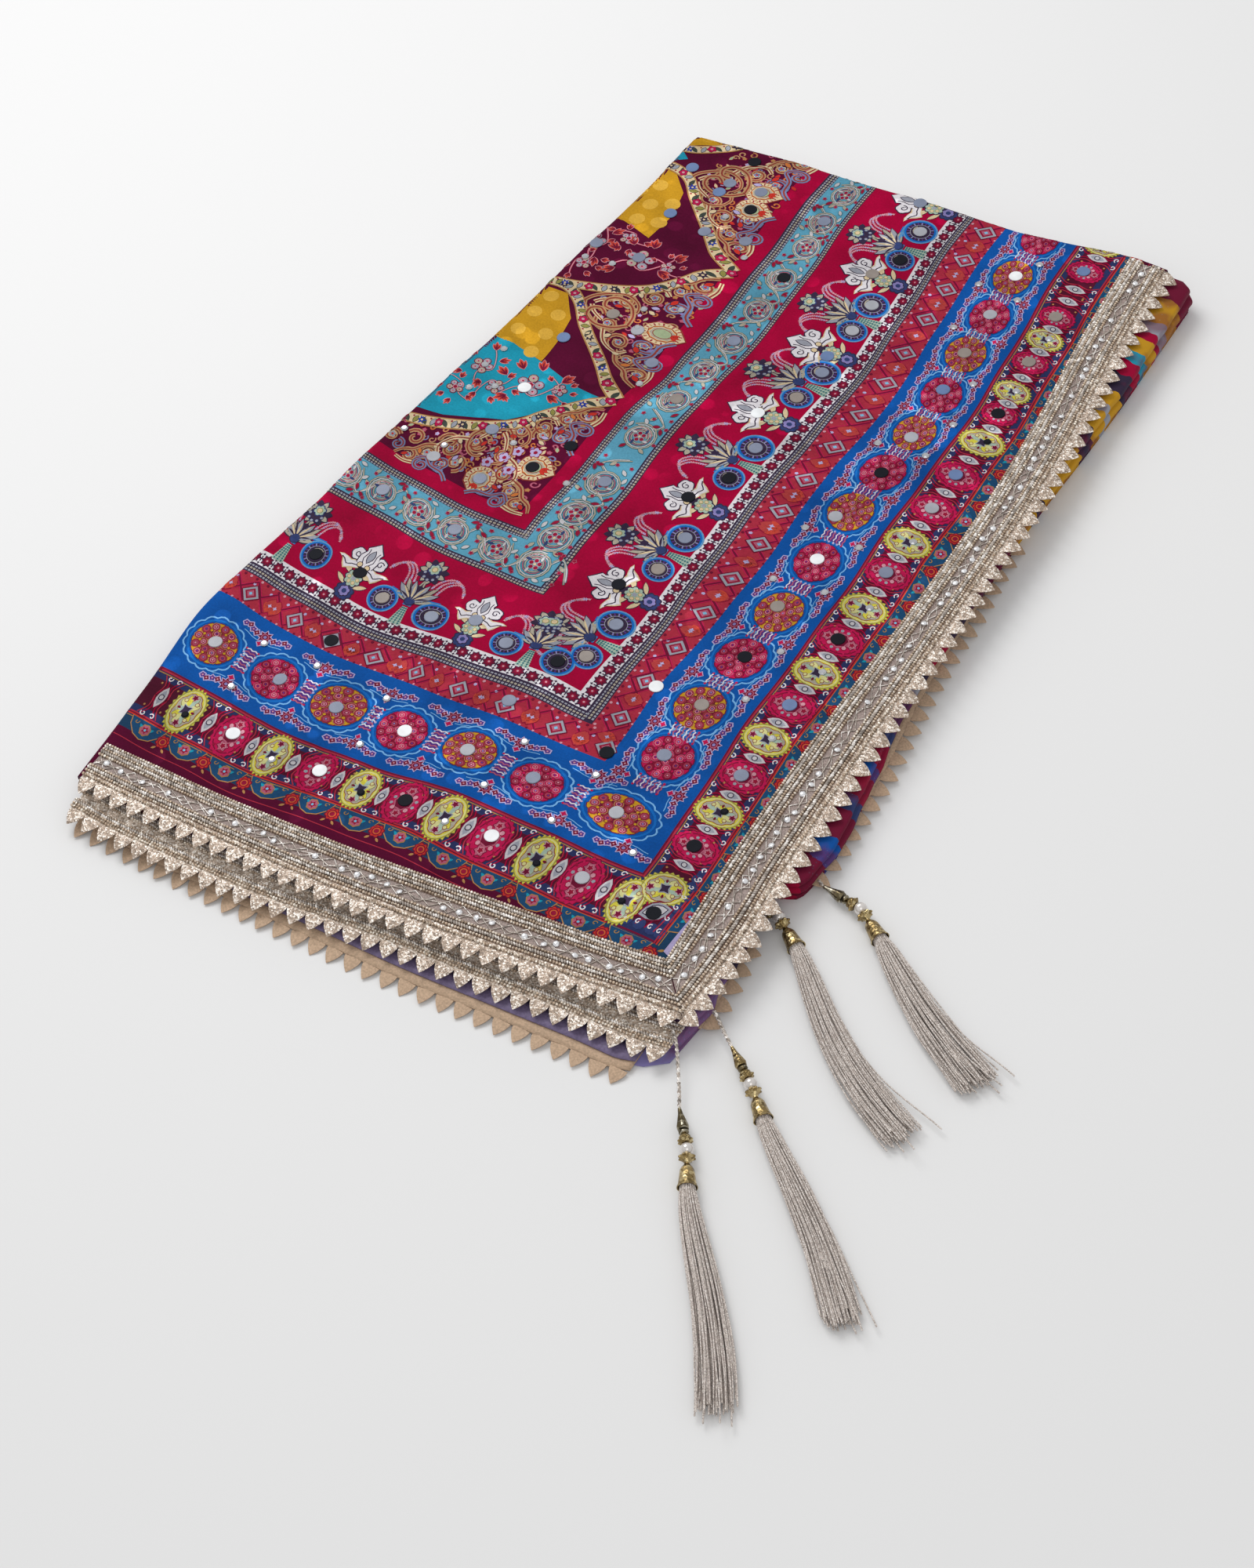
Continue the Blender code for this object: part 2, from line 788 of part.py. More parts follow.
def build_skirt(name, start, end, width, bow, mouth_heading, turn):
    """Skirt head under the bell, and its strands, drawn out of the head's end."""
    columns, rows = STRAND_COLUMNS, STRAND_ROWS
    line = end - start
    length = line.length
    along = line.normalized()
    left = Vector((-along.y, along.x, 0))
    first = heading(mouth_heading)

    def centre_at(s):
        if s <= 0:
            return start + first * s
        share = s / length
        straight = start + along * s + (first - along) * s * (1 - share) ** 3
        return straight + left * bow * math.sin(math.pi * share) * share**0.3

    def place(s, a, b):
        grow = min(1.0, max(0.0, (s - 1.5) / length)) ** 0.6
        half = SKIRT_HEAD_RADIUS * (1 - grow) + (width / 2 - 0.6) * grow
        tall = SKIRT_HEAD_RADIUS * (1 - grow) + 3.3 * grow
        direction = (centre_at(s + 2.0) - centre_at(s - 2.0)).normalized()
        side = Vector((-direction.y, direction.x, 0))
        flat = centre_at(s) + side * (a * half)
        return Vector((flat.x, flat.y, AXIS_HEIGHT - 1.2 * grow + b * tall))

    mesh = bmesh.new()
    corners = [
        [disc_point(-1 + 2 * i / columns, -1 + 2 * j / rows, 1.0) for i in range(columns + 1)]
        for j in range(rows + 1)
    ]

    def layer(s):
        return [[mesh.verts.new(place(s, a, b) * MM) for a, b in row] for row in corners]

    rim = [(0, i) for i in range(columns)]
    rim += [(j, columns) for j in range(rows)]
    rim += [(rows, i) for i in range(columns, 0, -1)]
    rim += [(j, 0) for j in range(rows, 0, -1)]
    inside = [mesh.verts.new(place(SEAM_GAP, *corners[j][i]) * MM) for j, i in rim]
    outside = layer(1.3)
    shell = [outside[j][i] for j, i in rim]
    mesh.faces.new(inside)
    for k in range(len(rim)):
        m = (k + 1) % len(rim)
        mesh.faces.new((inside[m], inside[k], shell[k], shell[m]))
    for j in range(rows):
        for i in range(columns):
            cell = [(j, i), (j + 1, i), (j + 1, i + 1), (j, i + 1)]
            middle_a = sum(corners[p][q][0] for p, q in cell) / 4
            middle_b = sum(corners[p][q][1] for p, q in cell) / 4
            before = [outside[p][q] for p, q in cell]
            order = i * 7 + j * 5 + turn * 3
            reach = length * (0.93 + 0.07 * ((order * 37) % 10) / 9)
            for s, share in ((1.9, 0.62), (0.24, 0.60), (0.6, 0.56), (1.0, 0.50)):
                at = s if s > 1.0 else s * reach
                drift = 0.12 * math.sin(order * 1.7 + 5 * s) * (s if s <= 1 else 0)
                after = []
                for p, q in cell:
                    a, b = corners[p][q]
                    da = middle_a + (a - middle_a) * share + drift * 0.35
                    db = middle_b + (b - middle_b) * share
                    after.append(mesh.verts.new(place(at, da, db) * MM))
                for m in range(4):
                    n = (m + 1) % 4
                    mesh.faces.new((before[n], before[m], after[m], after[n]))
                before = after
            mesh.faces.new(before[::-1])
    bmesh.ops.recalc_face_normals(mesh, faces=mesh.faces[:])
    made = bpy.data.meshes.new(name)
    mesh.to_mesh(made)
    mesh.free()
    add_object(name, made, "thread")


def build_tassel(row, number):
    name, bead_heading, bell_heading, mx, my, ex, ey, width, bow = row
    mouth = Vector((mx, my, AXIS_HEIGHT))
    pearl = mouth - heading(bell_heading) * 21.5
    pieces = (
        ("bell", BELL_PROFILE, bell_heading, "antique_gold"),
        ("lower_cap", LOWER_CAP_PROFILE, bell_heading, "antique_gold"),
        ("upper_cap", UPPER_CAP_PROFILE, bead_heading, "antique_gold"),
        ("spacer", SPACER_PROFILE, bead_heading, "pearl"),
        ("cone", CONE_PROFILE, bead_heading, "antique_gold"),
    )
    for piece, profile, degrees, look in pieces:
        add_turned(f"tassel_{name}_{piece}", profile, pearl, degrees, look)
    bpy.ops.mesh.primitive_uv_sphere_add(
        segments=10,
        ring_count=6,
        radius=PEARL_RADIUS * MM,
        location=pearl * MM,
    )
    ball = bpy.context.object
    ball.name = f"tassel_{name}_pearl"
    ball.data.materials.append(materials["pearl"])
    ball.data.shade_smooth()
    for old in ball.users_collection:
        old.objects.unlink(ball)
    collection.objects.link(ball)
    end = Vector((ex, ey, AXIS_HEIGHT))
    build_skirt(f"tassel_{name}_skirt", mouth, end, width, bow, bell_heading, number)
    return pearl - heading(bead_heading) * (CONE_PROFILE[0][1] + SEAM_GAP)


def add_cord(name, route, end):
    """Thread cord as a tube through smoothly rounded route points to a cone's tip."""
    rows = [Vector(p) for p in route] + [end]
    curve = bpy.data.curves.new(name, "CURVE")
    curve.dimensions = "3D"
    curve.bevel_depth = CORD_RADIUS * MM
    curve.bevel_resolution = 2
    curve.use_fill_caps = True
    count = max(3, round((rows[-1] - rows[0]).length / (5.5 * CORD_RADIUS)))
    spline = curve.splines.new("POLY")
    spline.points.add(count)
    tables = [[(k, rows[k][axis]) for k in range(len(rows))] for axis in range(3)]
    for k in range(count + 1):
        at = (len(rows) - 1) * k / count
        spot = Vector([read(table, at) for table in tables]) * MM
        spline.points[k].co = (*spot, 1.0)
    curve.materials.append(materials["thread"])
    obj = bpy.data.objects.new(name, curve)
    collection.objects.link(obj)


for old in list(bpy.data.objects):
    bpy.data.objects.remove(old, do_unlink=True)
collection = bpy.data.collections.new("folded_dupatta_stole")
bpy.context.scene.collection.children.link(collection)
materials = {name: material(name) for name in COLOURS}

build_top_panel()
build_hidden_layers()
build_top_lace()
build_lower_edges()
tips = [build_tassel(row, number) for number, row in enumerate(TASSELS)]
add_cord("cord_1", CORD_1_ROUTE, tips[0])
add_cord("cord_2", CORD_2_ROUTE, tips[1])
add_cord("cord_4", CORD_4_ROUTE, tips[3])
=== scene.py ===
import math
import random

import bmesh
import bpy
from mathutils import Matrix, Vector


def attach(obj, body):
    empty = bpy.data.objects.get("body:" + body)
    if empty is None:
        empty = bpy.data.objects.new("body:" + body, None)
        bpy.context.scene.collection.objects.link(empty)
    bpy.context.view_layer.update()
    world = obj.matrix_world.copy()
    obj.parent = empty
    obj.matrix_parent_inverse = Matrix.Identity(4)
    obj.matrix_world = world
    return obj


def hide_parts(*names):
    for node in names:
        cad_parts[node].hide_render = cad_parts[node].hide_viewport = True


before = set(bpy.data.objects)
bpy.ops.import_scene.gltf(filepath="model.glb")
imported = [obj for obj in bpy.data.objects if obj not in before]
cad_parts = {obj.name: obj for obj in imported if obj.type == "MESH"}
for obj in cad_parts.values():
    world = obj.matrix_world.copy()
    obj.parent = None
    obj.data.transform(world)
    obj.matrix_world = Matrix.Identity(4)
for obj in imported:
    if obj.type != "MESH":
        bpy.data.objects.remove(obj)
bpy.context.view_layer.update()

scene = bpy.context.scene

# Camera at the photo's angle, metres and degrees.
cameraSet = {
    "place": (0.702, -0.9884, 1.2824),
    "heading": 37.167,
    "tilt": 39.311,
    "roll": -7.629,
    "lens": 72.0,
}


def setCamera():
    data = bpy.data.cameras.new("camera")
    data.sensor_fit = "VERTICAL"
    data.sensor_height = 36.0
    data.sensor_width = 28.8
    data.lens = cameraSet["lens"]
    camera = bpy.data.objects.new("camera", data)
    scene.collection.objects.link(camera)
    turn = Matrix.Rotation(math.radians(cameraSet["heading"]), 4, "Z")
    turn = turn @ Matrix.Rotation(math.radians(cameraSet["tilt"]), 4, "X")
    turn = turn @ Matrix.Rotation(math.radians(cameraSet["roll"]), 4, "Z")
    camera.matrix_world = Matrix.Translation(cameraSet["place"]) @ turn
    scene.camera = camera


setCamera()

# The folded pack: sizes in millimetres, x toward the long laced hem, y away from the short one.
mm = 0.001
pack = {
    "foldRadius": 3.5,
    "clothWall": 0.7,
    "layGap": 0.5,
    "plyGap": 1.9,
    "toothDepth": 9.0,
    "axisHeight": 5.6,
}

# Height of the top cloth: y, height.
stackHeight = ((-330, 15.6), (-283, 16.0), (-200, 17.6), (-100, 18.8), (0, 19.8), (120, 21.0),
               (220, 22.0), (330, 22.8))

# Soft troughs and ridges: x0, y0, x1, y1, half width, height.
creases = (
    (-205, -66, -95, -88, 23, -1.3),
    (-196, -16, -120, -46, 23, 1.2),
    (-190, -150, -150, -262, 19, 1.3),
    (-160, -120, -112, -262, 18, -1.0),
    (-70, -180, -30, -262, 20, -0.9),
    (-20, -150, 10, -250, 20, 0.8),
    (-176, 90, -60, 60, 20, -1.1),
    (-170, 170, -40, 205, 22, 0.9),
    (-30, 300, 10, 120, 20, 0.9),
    (60, 305, 50, 80, 20, -0.9),
    (20, 40, 60, -110, 22, -0.9),
    (110, 120, 118, -60, 20, 0.8),
    (95, -100, 128, -235, 20, -0.9),
    (-110, 10, -20, -30, 20, 0.8),
)

# Fine wrinkles of the satin, same columns.
wrinkles = (
    (-192, -92, -128, -108, 5, 0.55),
    (-196, -48, -140, -66, 6, 0.5),
    (-60, -196, -48, -262, 5, 0.5),
    (-84, -190, -76, -262, 4, -0.45),
    (-128, -176, -118, -258, 5, 0.45),
    (-20, -180, 4, -258, 5, -0.4),
    (48, -196, 60, -250, 5, 0.4),
    (-160, 74, -84, 96, 6, 0.5),
    (-150, 118, -66, 112, 6, -0.45),
    (20, 60, 78, 96, 6, 0.4),
    (-66, -60, -10, -84, 6, -0.4),
    (30, -40, 84, -20, 7, 0.35),
    (70, 150, 84, 290, 7, -0.35),
    (-96, 250, -30, 292, 7, 0.4),
    (-176, 10, -120, 26, 5, 0.45),
    (104, -150, 120, -236, 5, 0.35),
)

# Edges of the pack: place along the side, then the edge.
leftEdge = ((-303, -190), (-263, -192.5), (-212, -196), (-166, -200.5), (-118, -196), (-68, -190),
            (-12, -184), (45, -177.5), (113, -169), (171, -163.5), (229, -157), (278, -154), (305, -152.5))
backEdge = ((-154, 299), (-121, 301.5), (-77, 304), (-39, 304), (14, 306), (68, 306), (115, 312),
            (139, 315), (168, 314))
longTips = ((-286, 184), (-276, 186), (-246, 189), (-216, 190), (-186, 188), (-126, 187), (-66, 186),
            (54, 185), (114, 184), (174, 180), (234, 174), (314, 170))
longInner = ((-250, 152), (-186, 149), (-126, 148.5), (-66, 149.5), (-6, 151.5), (54, 152.5),
             (114, 151.5), (174, 147.5), (234, 141.5), (314, 137))
shortTips = ((-186, -302), (-140, -303), (-66, -303), (-6, -301), (54, -297.5), (114, -292),
             (156, -287.5), (184, -284))
shortInner = ((-190, -268), (-126, -268.5), (-66, -267), (-6, -264), (54, -259), (114, -254.5),
              (152, -250))
secondTips = ((-180, -317), (-154, -319), (-68, -318), (0, -312), (72, -308), (115, -305),
              (161, -303), (181, -300))
thirdTips = ((-180, -319), (-118, -322), (-50, -323.5), (23, -323.5), (87, -321), (132, -319),
             (153, -319), (168, -315))
printedFold = ((-275, 182), (-262, 185), (-250, 182), (-225, 181), (-212, 180), (-206, 172),
               (-199, 160), (-191, 158), (-184, 167), (-178, 186), (-168, 190), (-141, 192),
               (-92, 186), (-42, 178.5), (40, 176.5), (111, 176), (181, 179), (231, 180), (310, 180))
lowerTips = ((-172, 197), (-150, 197), (-118, 196), (-89, 195), (-47, 190), (-3, 186), (35, 185),
             (65, 182), (96, 181))
cornerTips = ((-272, 192), (-255, 191.5), (-240, 190), (-210, 186.5))


def readTable(table, at):
    if at <= table[0][0]:
        return table[0][1]
    if at >= table[-1][0]:
        return table[-1][1]
    last = len(table) - 1
    i = next(k for k in range(last) if at <= table[k + 1][0])

    def slope(k):
        low, high = max(k - 1, 0), min(k + 1, last)
        return (table[high][1] - table[low][1]) / (table[high][0] - table[low][0])

    (x0, y0), (x1, y1) = table[i], table[i + 1]
    span = x1 - x0
    t = (at - x0) / span
    rise = (y1 - y0) / span
    first, second = (slope(i), slope(i + 1)) if rise else (0.0, 0.0)
    limit = 2.5 * abs(rise)
    first = max(-limit, min(limit, first))
    second = max(-limit, min(limit, second))
    return (y0 * (1 + 2 * t) * (1 - t) ** 2 + first * span * t * (1 - t) ** 2
            + y1 * t * t * (3 - 2 * t) + second * span * t * t * (t - 1))


def creaseHeight(row, x, y):
    x0, y0, x1, y1, half, height = row
    dx, dy = x1 - x0, y1 - y0
    t = ((x - x0) * dx + (y - y0) * dy) / (dx * dx + dy * dy)
    near = max(0.0, min(1.0, t))
    away = math.hypot(x - x0 - near * dx, y - y0 - near * dy)
    if away > 3 * half:
        return 0.0
    return height * (0.35 + 0.65 * math.sin(math.pi * near)) * math.exp(-((away / half) ** 2))


def ease(t):
    t = max(0.0, min(1.0, t))
    return t * t * (3 - 2 * t)


def stackTop(x, y):
    total = readTable(stackHeight, y) + sum(creaseHeight(row, x, y) for row in creases)
    return total - 0.9 * ease((x - 120) / 70)


def clothTop(x, y):
    fine = sum(creaseHeight(row, x, y) for row in wrinkles)
    fine += 0.14 * math.sin(0.083 * x + 0.047 * y + 1.3 * math.sin(0.021 * y))
    fine += 0.09 * math.sin(0.151 * y - 0.067 * x + 0.9 * math.sin(0.033 * x))
    return stackTop(x, y) + fine


def laceTop(x, y):
    return stackTop(x, y) + pack["layGap"]


def planPoint(u, v, left, right, front, back):
    x = left(0) + u * (right(0) - left(0))
    y = front(x) + v * (back(x) - front(x))
    for _ in range(5):
        x = left(y) + u * (right(y) - left(y))
        y = front(x) + v * (back(x) - front(x))
    return x, y


def spread(start, end, count):
    return [start + (end - start) * k / count for k in range(count + 1)]


def gridFaces(columns, rows, first=0):
    wide = columns + 1
    return [(first + j * wide + i, first + j * wide + i + 1,
             first + (j + 1) * wide + i + 1, first + (j + 1) * wide + i)
            for j in range(rows) for i in range(columns)]


# Finishes: a small builder for node materials.
class Finish:
    def __init__(self, name):
        self.material = bpy.data.materials.new(name)
        self.material.use_nodes = True
        self.tree = self.material.node_tree
        self.shader = self.tree.nodes["Principled BSDF"]

    def put(self, socket, value):
        if isinstance(value, bpy.types.NodeSocket):
            self.tree.links.new(value, socket)
        else:
            socket.default_value = value

    def add(self, kind, sockets=None, **settings):
        node = self.tree.nodes.new("ShaderNode" + kind)
        for key, value in settings.items():
            setattr(node, key, value)
        for key, value in (sockets or {}).items():
            self.put(node.inputs[key], value)
        return node

    def math(self, operation, *values):
        return self.add("Math", dict(enumerate(values)), operation=operation).outputs[0]

    def mix(self, share, first, second, blend="MIX"):
        made = self.add("Mix", {0: share, 6: first, 7: second}, data_type="RGBA", blend_type=blend)
        return made.outputs[2]

    def place(self, scale=(1.0, 1.0, 1.0), turn=0.0):
        where = self.add("TexCoord").outputs["Object"]
        sockets = {"Vector": where, "Scale": scale, "Rotation": (0.0, 0.0, math.radians(turn))}
        return self.add("Mapping", sockets).outputs[0]

    def printPlace(self):
        return self.add("UVMap", uv_map="print").outputs[0]

    def noise(self, where, scale, detail=2.0, rough=0.5):
        sockets = {"Vector": where, "Scale": scale, "Detail": detail, "Roughness": rough}
        return self.add("TexNoise", sockets).outputs[0]

    def cells(self, where, scale, randomness=1.0, feature="F1", output="Distance"):
        sockets = {"Vector": where, "Scale": scale, "Randomness": randomness}
        return self.add("TexVoronoi", sockets, feature=feature).outputs[output]

    def ramp(self, share, stops, sharp=False):
        node = self.add("ValToRGB", {0: share})
        node.color_ramp.interpolation = "CONSTANT" if sharp else "LINEAR"
        marks = node.color_ramp.elements
        while len(marks) < len(stops):
            marks.new(1.0)
        for mark, (at, tint) in zip(marks, stops):
            mark.position = at
            mark.color = (*tint, 1.0)
        return node.outputs[0]

    def step(self, value, low, high, start=0.0, end=1.0):
        sockets = {0: value, 1: low, 2: high, 3: start, 4: end}
        return self.add("MapRange", sockets).outputs[0]

    def bump(self, height, distance, strength=1.0, under=None):
        sockets = {"Height": height, "Distance": distance, "Strength": strength}
        if under is not None:
            sockets["Normal"] = under
        return self.add("Bump", sockets).outputs[0]

    def set(self, **values):
        for name, value in values.items():
            self.put(self.shader.inputs[name.replace("_", " ")], value)
        return self.material


# Colours sampled from the cloth, in linear light.
dye = {
    "crimson": (0.335, 0.0, 0.033),
    "royalBlue": (0.004, 0.078, 0.33),
    "maroon": (0.085, 0.002, 0.024),
    "mustard": (0.52, 0.27, 0.015),
    "turquoise": (0.012, 0.27, 0.39),
    "vineBlue": (0.1, 0.32, 0.45),
    "paleBlue": (0.2, 0.47, 0.66),
    "salmon": (0.36, 0.024, 0.048),
    "white": (0.68, 0.65, 0.68),
    "cream": (0.62, 0.49, 0.3),
    "ink": (0.035, 0.022, 0.05),
    "grey": (0.2, 0.2, 0.22),
    "rose": (0.47, 0.012, 0.075),
    "yellow": (0.64, 0.58, 0.07),
    "orange": (0.52, 0.16, 0.04),
    "lavender": (0.22, 0.19, 0.42),
    "sage": (0.33, 0.4, 0.24),
    "violet": (0.09, 0.03, 0.2),
    "wine": (0.15, 0.006, 0.03),
    "skyBlue": (0.17, 0.4, 0.7),
    "skyPale": (0.1, 0.27, 0.5),
    "brightBlue": (0.008, 0.13, 0.46),
    "deepBlue": (0.02, 0.04, 0.3),
    "navy": (0.03, 0.045, 0.14),
    "teal": (0.012, 0.062, 0.15),
    "deepTeal": (0.02, 0.13, 0.16),
    "berry": (0.27, 0.008, 0.035),
    "pinkRed": (0.45, 0.008, 0.07),
    "blush": (0.56, 0.26, 0.32),
    "paleRose": (0.62, 0.3, 0.36),
    "scarlet": (0.5, 0.03, 0.02),
    "orangeRed": (0.5, 0.055, 0.035),
    "gold": (0.4, 0.2, 0.07),
    "ochre": (0.36, 0.19, 0.05),
    "lemon": (0.58, 0.52, 0.06),
    "paleYellow": (0.58, 0.56, 0.25),
    "olive": (0.25, 0.23, 0.06),
    "dustyRose": (0.4, 0.1, 0.16),
    "steel": (0.3, 0.31, 0.36),
    "pearlGrey": (0.5, 0.48, 0.5),
    "paleViolet": (0.42, 0.36, 0.58),
    "paleSage": (0.34, 0.44, 0.36),
    "khaki": (0.38, 0.34, 0.27),
    "blueGrey": (0.16, 0.19, 0.34),
    "brightMustard": (0.66, 0.38, 0.05),
    "tan": (0.42, 0.24, 0.12),
    "brick": (0.4, 0.045, 0.045),
    "rust": (0.25, 0.04, 0.03),
    "petal": (0.28, 0.02, 0.05),
    "darkLeaf": (0.045, 0.055, 0.045),
}


def finishSatin(look, colour, where):
    # Self-woven dots catch the light a little more than the ground: their brighter base colour is a painted
    # sheen, and they are a little less rough.
    dots = look.cells(where, 3.9, 0.75)
    dots = look.step(dots, 0.3, 0.36, 1.0, 0.0)
    dots = look.math("MULTIPLY", dots, look.step(look.noise(where, 2.2, 2.0), 0.4, 0.6))
    # Cloud and fibre vary the tone of the satin at random, over large and fine scales.
    cloud = look.step(look.noise(where, 1.6, 4.0), 0.3, 0.7, 0.7, 1.16)
    fibre = look.step(look.noise(where, 46.0, 3.0, 0.6), 0.25, 0.75, 0.84, 1.14)
    light = look.math("MULTIPLY", cloud, fibre)
    # Painted sheen: the dots scale the base colour from 0.96 to 1.42.
    light = look.math("MULTIPLY", light, look.step(dots, 0.0, 1.0, 0.96, 1.42))
    shade = look.add("CombineColor", {0: light, 1: light, 2: light}).outputs[0]
    colour = look.mix(1.0, colour, shade, "MULTIPLY")
    weave = look.add("Mapping", {"Vector": where, "Scale": (260.0, 60.0, 1.0)}).outputs[0]
    threads = look.noise(weave, 1.0, 1.0)
    raised = look.bump(threads, 0.00012, 0.5)
    raised = look.bump(dots, 0.00008, 0.4, raised)
    rough = look.step(dots, 0.0, 1.0, 0.58, 0.48)
    return look.set(Base_Color=colour, Roughness=rough, Normal=raised, Specular_IOR_Level=0.03)


def plainFinish(name, tint, rough=0.5, metal=0.0, grain=400.0, spread=0.15, depth=0.0001, **extra):
    look = Finish(name)
    where = look.place()
    cloud = look.noise(where, grain, 3.0)
    low = tuple(c * (1 - spread) for c in tint)
    high = tuple(min(1.0, c * (1 + spread)) for c in tint)
    colour = look.ramp(cloud, ((0.3, low), (0.7, high)))
    return look.set(Base_Color=colour, Roughness=rough, Metallic=metal,
                    Normal=look.bump(cloud, depth, 0.6), **extra)


def giltFinish(name, tint, shine, rough=0.34, metal=0.75, grain=900.0):
    # Metal thread: small facets that glint unevenly. The glint is a painted highlight: random facets get a
    # bright tint in the base colour, and others get a darker one at random.
    look = Finish(name)
    where = look.place()
    facets = look.cells(where, grain, 1.0, "F1", "Color")
    sparkle = look.add("SeparateColor", {0: facets}).outputs[0]
    low = tuple(c * 0.5 for c in tint)
    colour = look.ramp(sparkle, ((0.0, low), (0.55, tint), (0.93, shine), (1.0, shine)))
    height = look.cells(where, grain, 1.0, "F1", "Distance")
    return look.set(Base_Color=colour, Roughness=rough, Metallic=metal,
                    Normal=look.bump(height, 0.0004, 0.7))


def meshFrom(name, points, faces, *finishes, smooth=True, scale=mm):
    mesh = bpy.data.meshes.new(name)
    mesh.from_pydata([(p[0] * scale, p[1] * scale, p[2] * scale) for p in points], [], faces)
    mesh.update()
    for finish in finishes:
        mesh.materials.append(finish)
    obj = bpy.data.objects.new(name, mesh)
    scene.collection.objects.link(obj)
    if smooth:
        mesh.shade_smooth()
    return obj


def facingUp(points, faces):
    a, b, c = (Vector(points[k]) for k in faces[0][:3])
    return faces if (b - a).cross(c - b).z > 0 else [face[::-1] for face in faces]


def thicken(obj, wall, inner=0):
    walls = obj.modifiers.new("wall", "SOLIDIFY")
    walls.thickness = wall * mm
    walls.offset = -1.0
    walls.use_even_offset = True
    walls.material_offset = inner


def bake(obj):
    # The evaluated object becomes a plain mesh of its own.
    graph = bpy.context.evaluated_depsgraph_get()
    mesh = bpy.data.meshes.new_from_object(obj.evaluated_get(graph))
    made = bpy.data.objects.new(obj.name + "_made", mesh)
    name = obj.name
    scene.collection.objects.link(made)
    bpy.data.objects.remove(obj, do_unlink=True)
    made.name = name
    return made


# Print: flat coordinates in print units of 60 mm, and how the cloth lies on them.
cloth = {
    "unit": 60.0,
    "originX": 1.9,
    "originY": 3.6,
    "columns": 128,
    "rows": 200,
    "rollSteps": 12,
}
bandLift = ((-1.5, 0.03), (0.0, 0.05), (1.0, 0.1), (1.6, 0.15), (2.6, 0.21), (3.2, 0.22),
            (5.0, 0.1), (6.0, 0.05), (9.0, 0.0))
edgeDrift = ((-2.0, 0.0), (5.0, 0.0), (7.0, -0.04), (8.5, -0.1), (9.5, -0.12))


# Drift of the print: a line of the print, then place along it and drift.
shortDrift = (
    (-0.5, ((-5.0, -0.03), (-4.5, -0.06), (-4.0, -0.06), (-3.5, -0.03), (-3.0, 0.0), (-2.5, 0.03),
            (0.0, 0.02))),
    (0.0, ((-5.0, 0.02), (-4.0, -0.02), (-3.5, -0.02), (-3.0, 0.0), (-2.5, 0.03), (-2.0, 0.08),
           (-1.5, 0.12),
           (-1.0, 0.11), (0.0, 0.1), (0.6, 0.04))),
    (1.0, ((-5.0, -0.03), (-4.5, -0.08), (-4.0, -0.1), (-3.5, -0.07), (-2.5, -0.04), (-1.5, 0.0))),
    (1.5, ((-5.0, -0.05), (-4.5, -0.08), (-4.0, -0.11), (-3.5, -0.08), (-3.0, -0.04), (-2.0, 0.02),
           (-1.5, 0.0))),
    (2.5, ((-5.0, -0.04), (-4.0, -0.06), (-3.0, -0.06), (-2.5, -0.04), (-2.0, 0.0))),
    (3.3, ((-5.0, -0.05), (-4.5, -0.1), (-4.0, -0.09), (-3.0, -0.04), (-2.5, 0.0))),
    (4.0, ((-5.0, 0.0), (0.0, 0.0))),
)
longDrift = (
    (-3.42, ((3.2, 0.02), (4.2, 0.02), (5.0, -0.01), (6.0, -0.05), (8.0, -0.03))),
    (-3.2, ((3.2, 0.06), (4.2, 0.08), (5.0, 0.08), (5.4, 0.1), (6.0, 0.07), (8.0, 0.04))),
    (-3.0, ((3.2, 0.02), (5.0, 0.05), (5.4, 0.08), (6.0, 0.1), (8.0, 0.09))),
    (-2.45, ((2.4, 0.0), (3.0, 0.03), (5.0, 0.03), (6.0, 0.1), (7.0, 0.1), (8.5, 0.06))),
    (-1.51, ((0.8, 0.0), (1.5, 0.05), (2.5, 0.12), (4.0, 0.1), (5.0, 0.15), (6.0, 0.2), (7.0, 0.19),
             (8.5, 0.11))),
    (-1.32, ((0.8, 0.0), (1.0, 0.04), (2.5, 0.09), (4.0, 0.07), (5.5, 0.15), (7.0, 0.12), (8.5, 0.05))),
    (-1.0, ((0.5, 0.0), (1.0, 0.07), (2.0, 0.08), (3.0, 0.15), (4.0, 0.16), (5.0, 0.16), (5.6, 0.22),
            (6.2, 0.2),
            (7.0, 0.16), (8.5, 0.09))),
    (0.0, ((0.5, 0.0), (1.5, -0.02), (7.0, -0.01), (8.5, -0.07))),
)


def drift(rows, place, depth):
    return readTable([(at, readTable(table, place)) for at, table in rows], depth)


def warp(px, py):
    # Where a point of the flat print lies on the pack, in print units.
    lift = readTable(bandLift, py) * ease((-3.0 - px) / 2.2)
    side = readTable(edgeDrift, py) * ease((px + 1.2) / 1.2)
    inner = 0.09 * ease((py - 4.7) / 0.7) * ease((-2.2 - px) / 0.6) * ease((px + 4.2) / 0.8)
    sway = 0.012 * math.sin(2.3 * py + 0.6 * px) + 0.008 * math.sin(5.1 * py + 1.1)
    roll = 0.012 * math.sin(2.1 * px + 0.5 * py) + 0.009 * math.sin(5.7 * px + 0.4)
    back = -0.045 * ease((py - 5.0) / 1.5)
    return (px + side + inner + sway + drift(longDrift, py, px),
            py + lift + roll + back + drift(shortDrift, px, py))


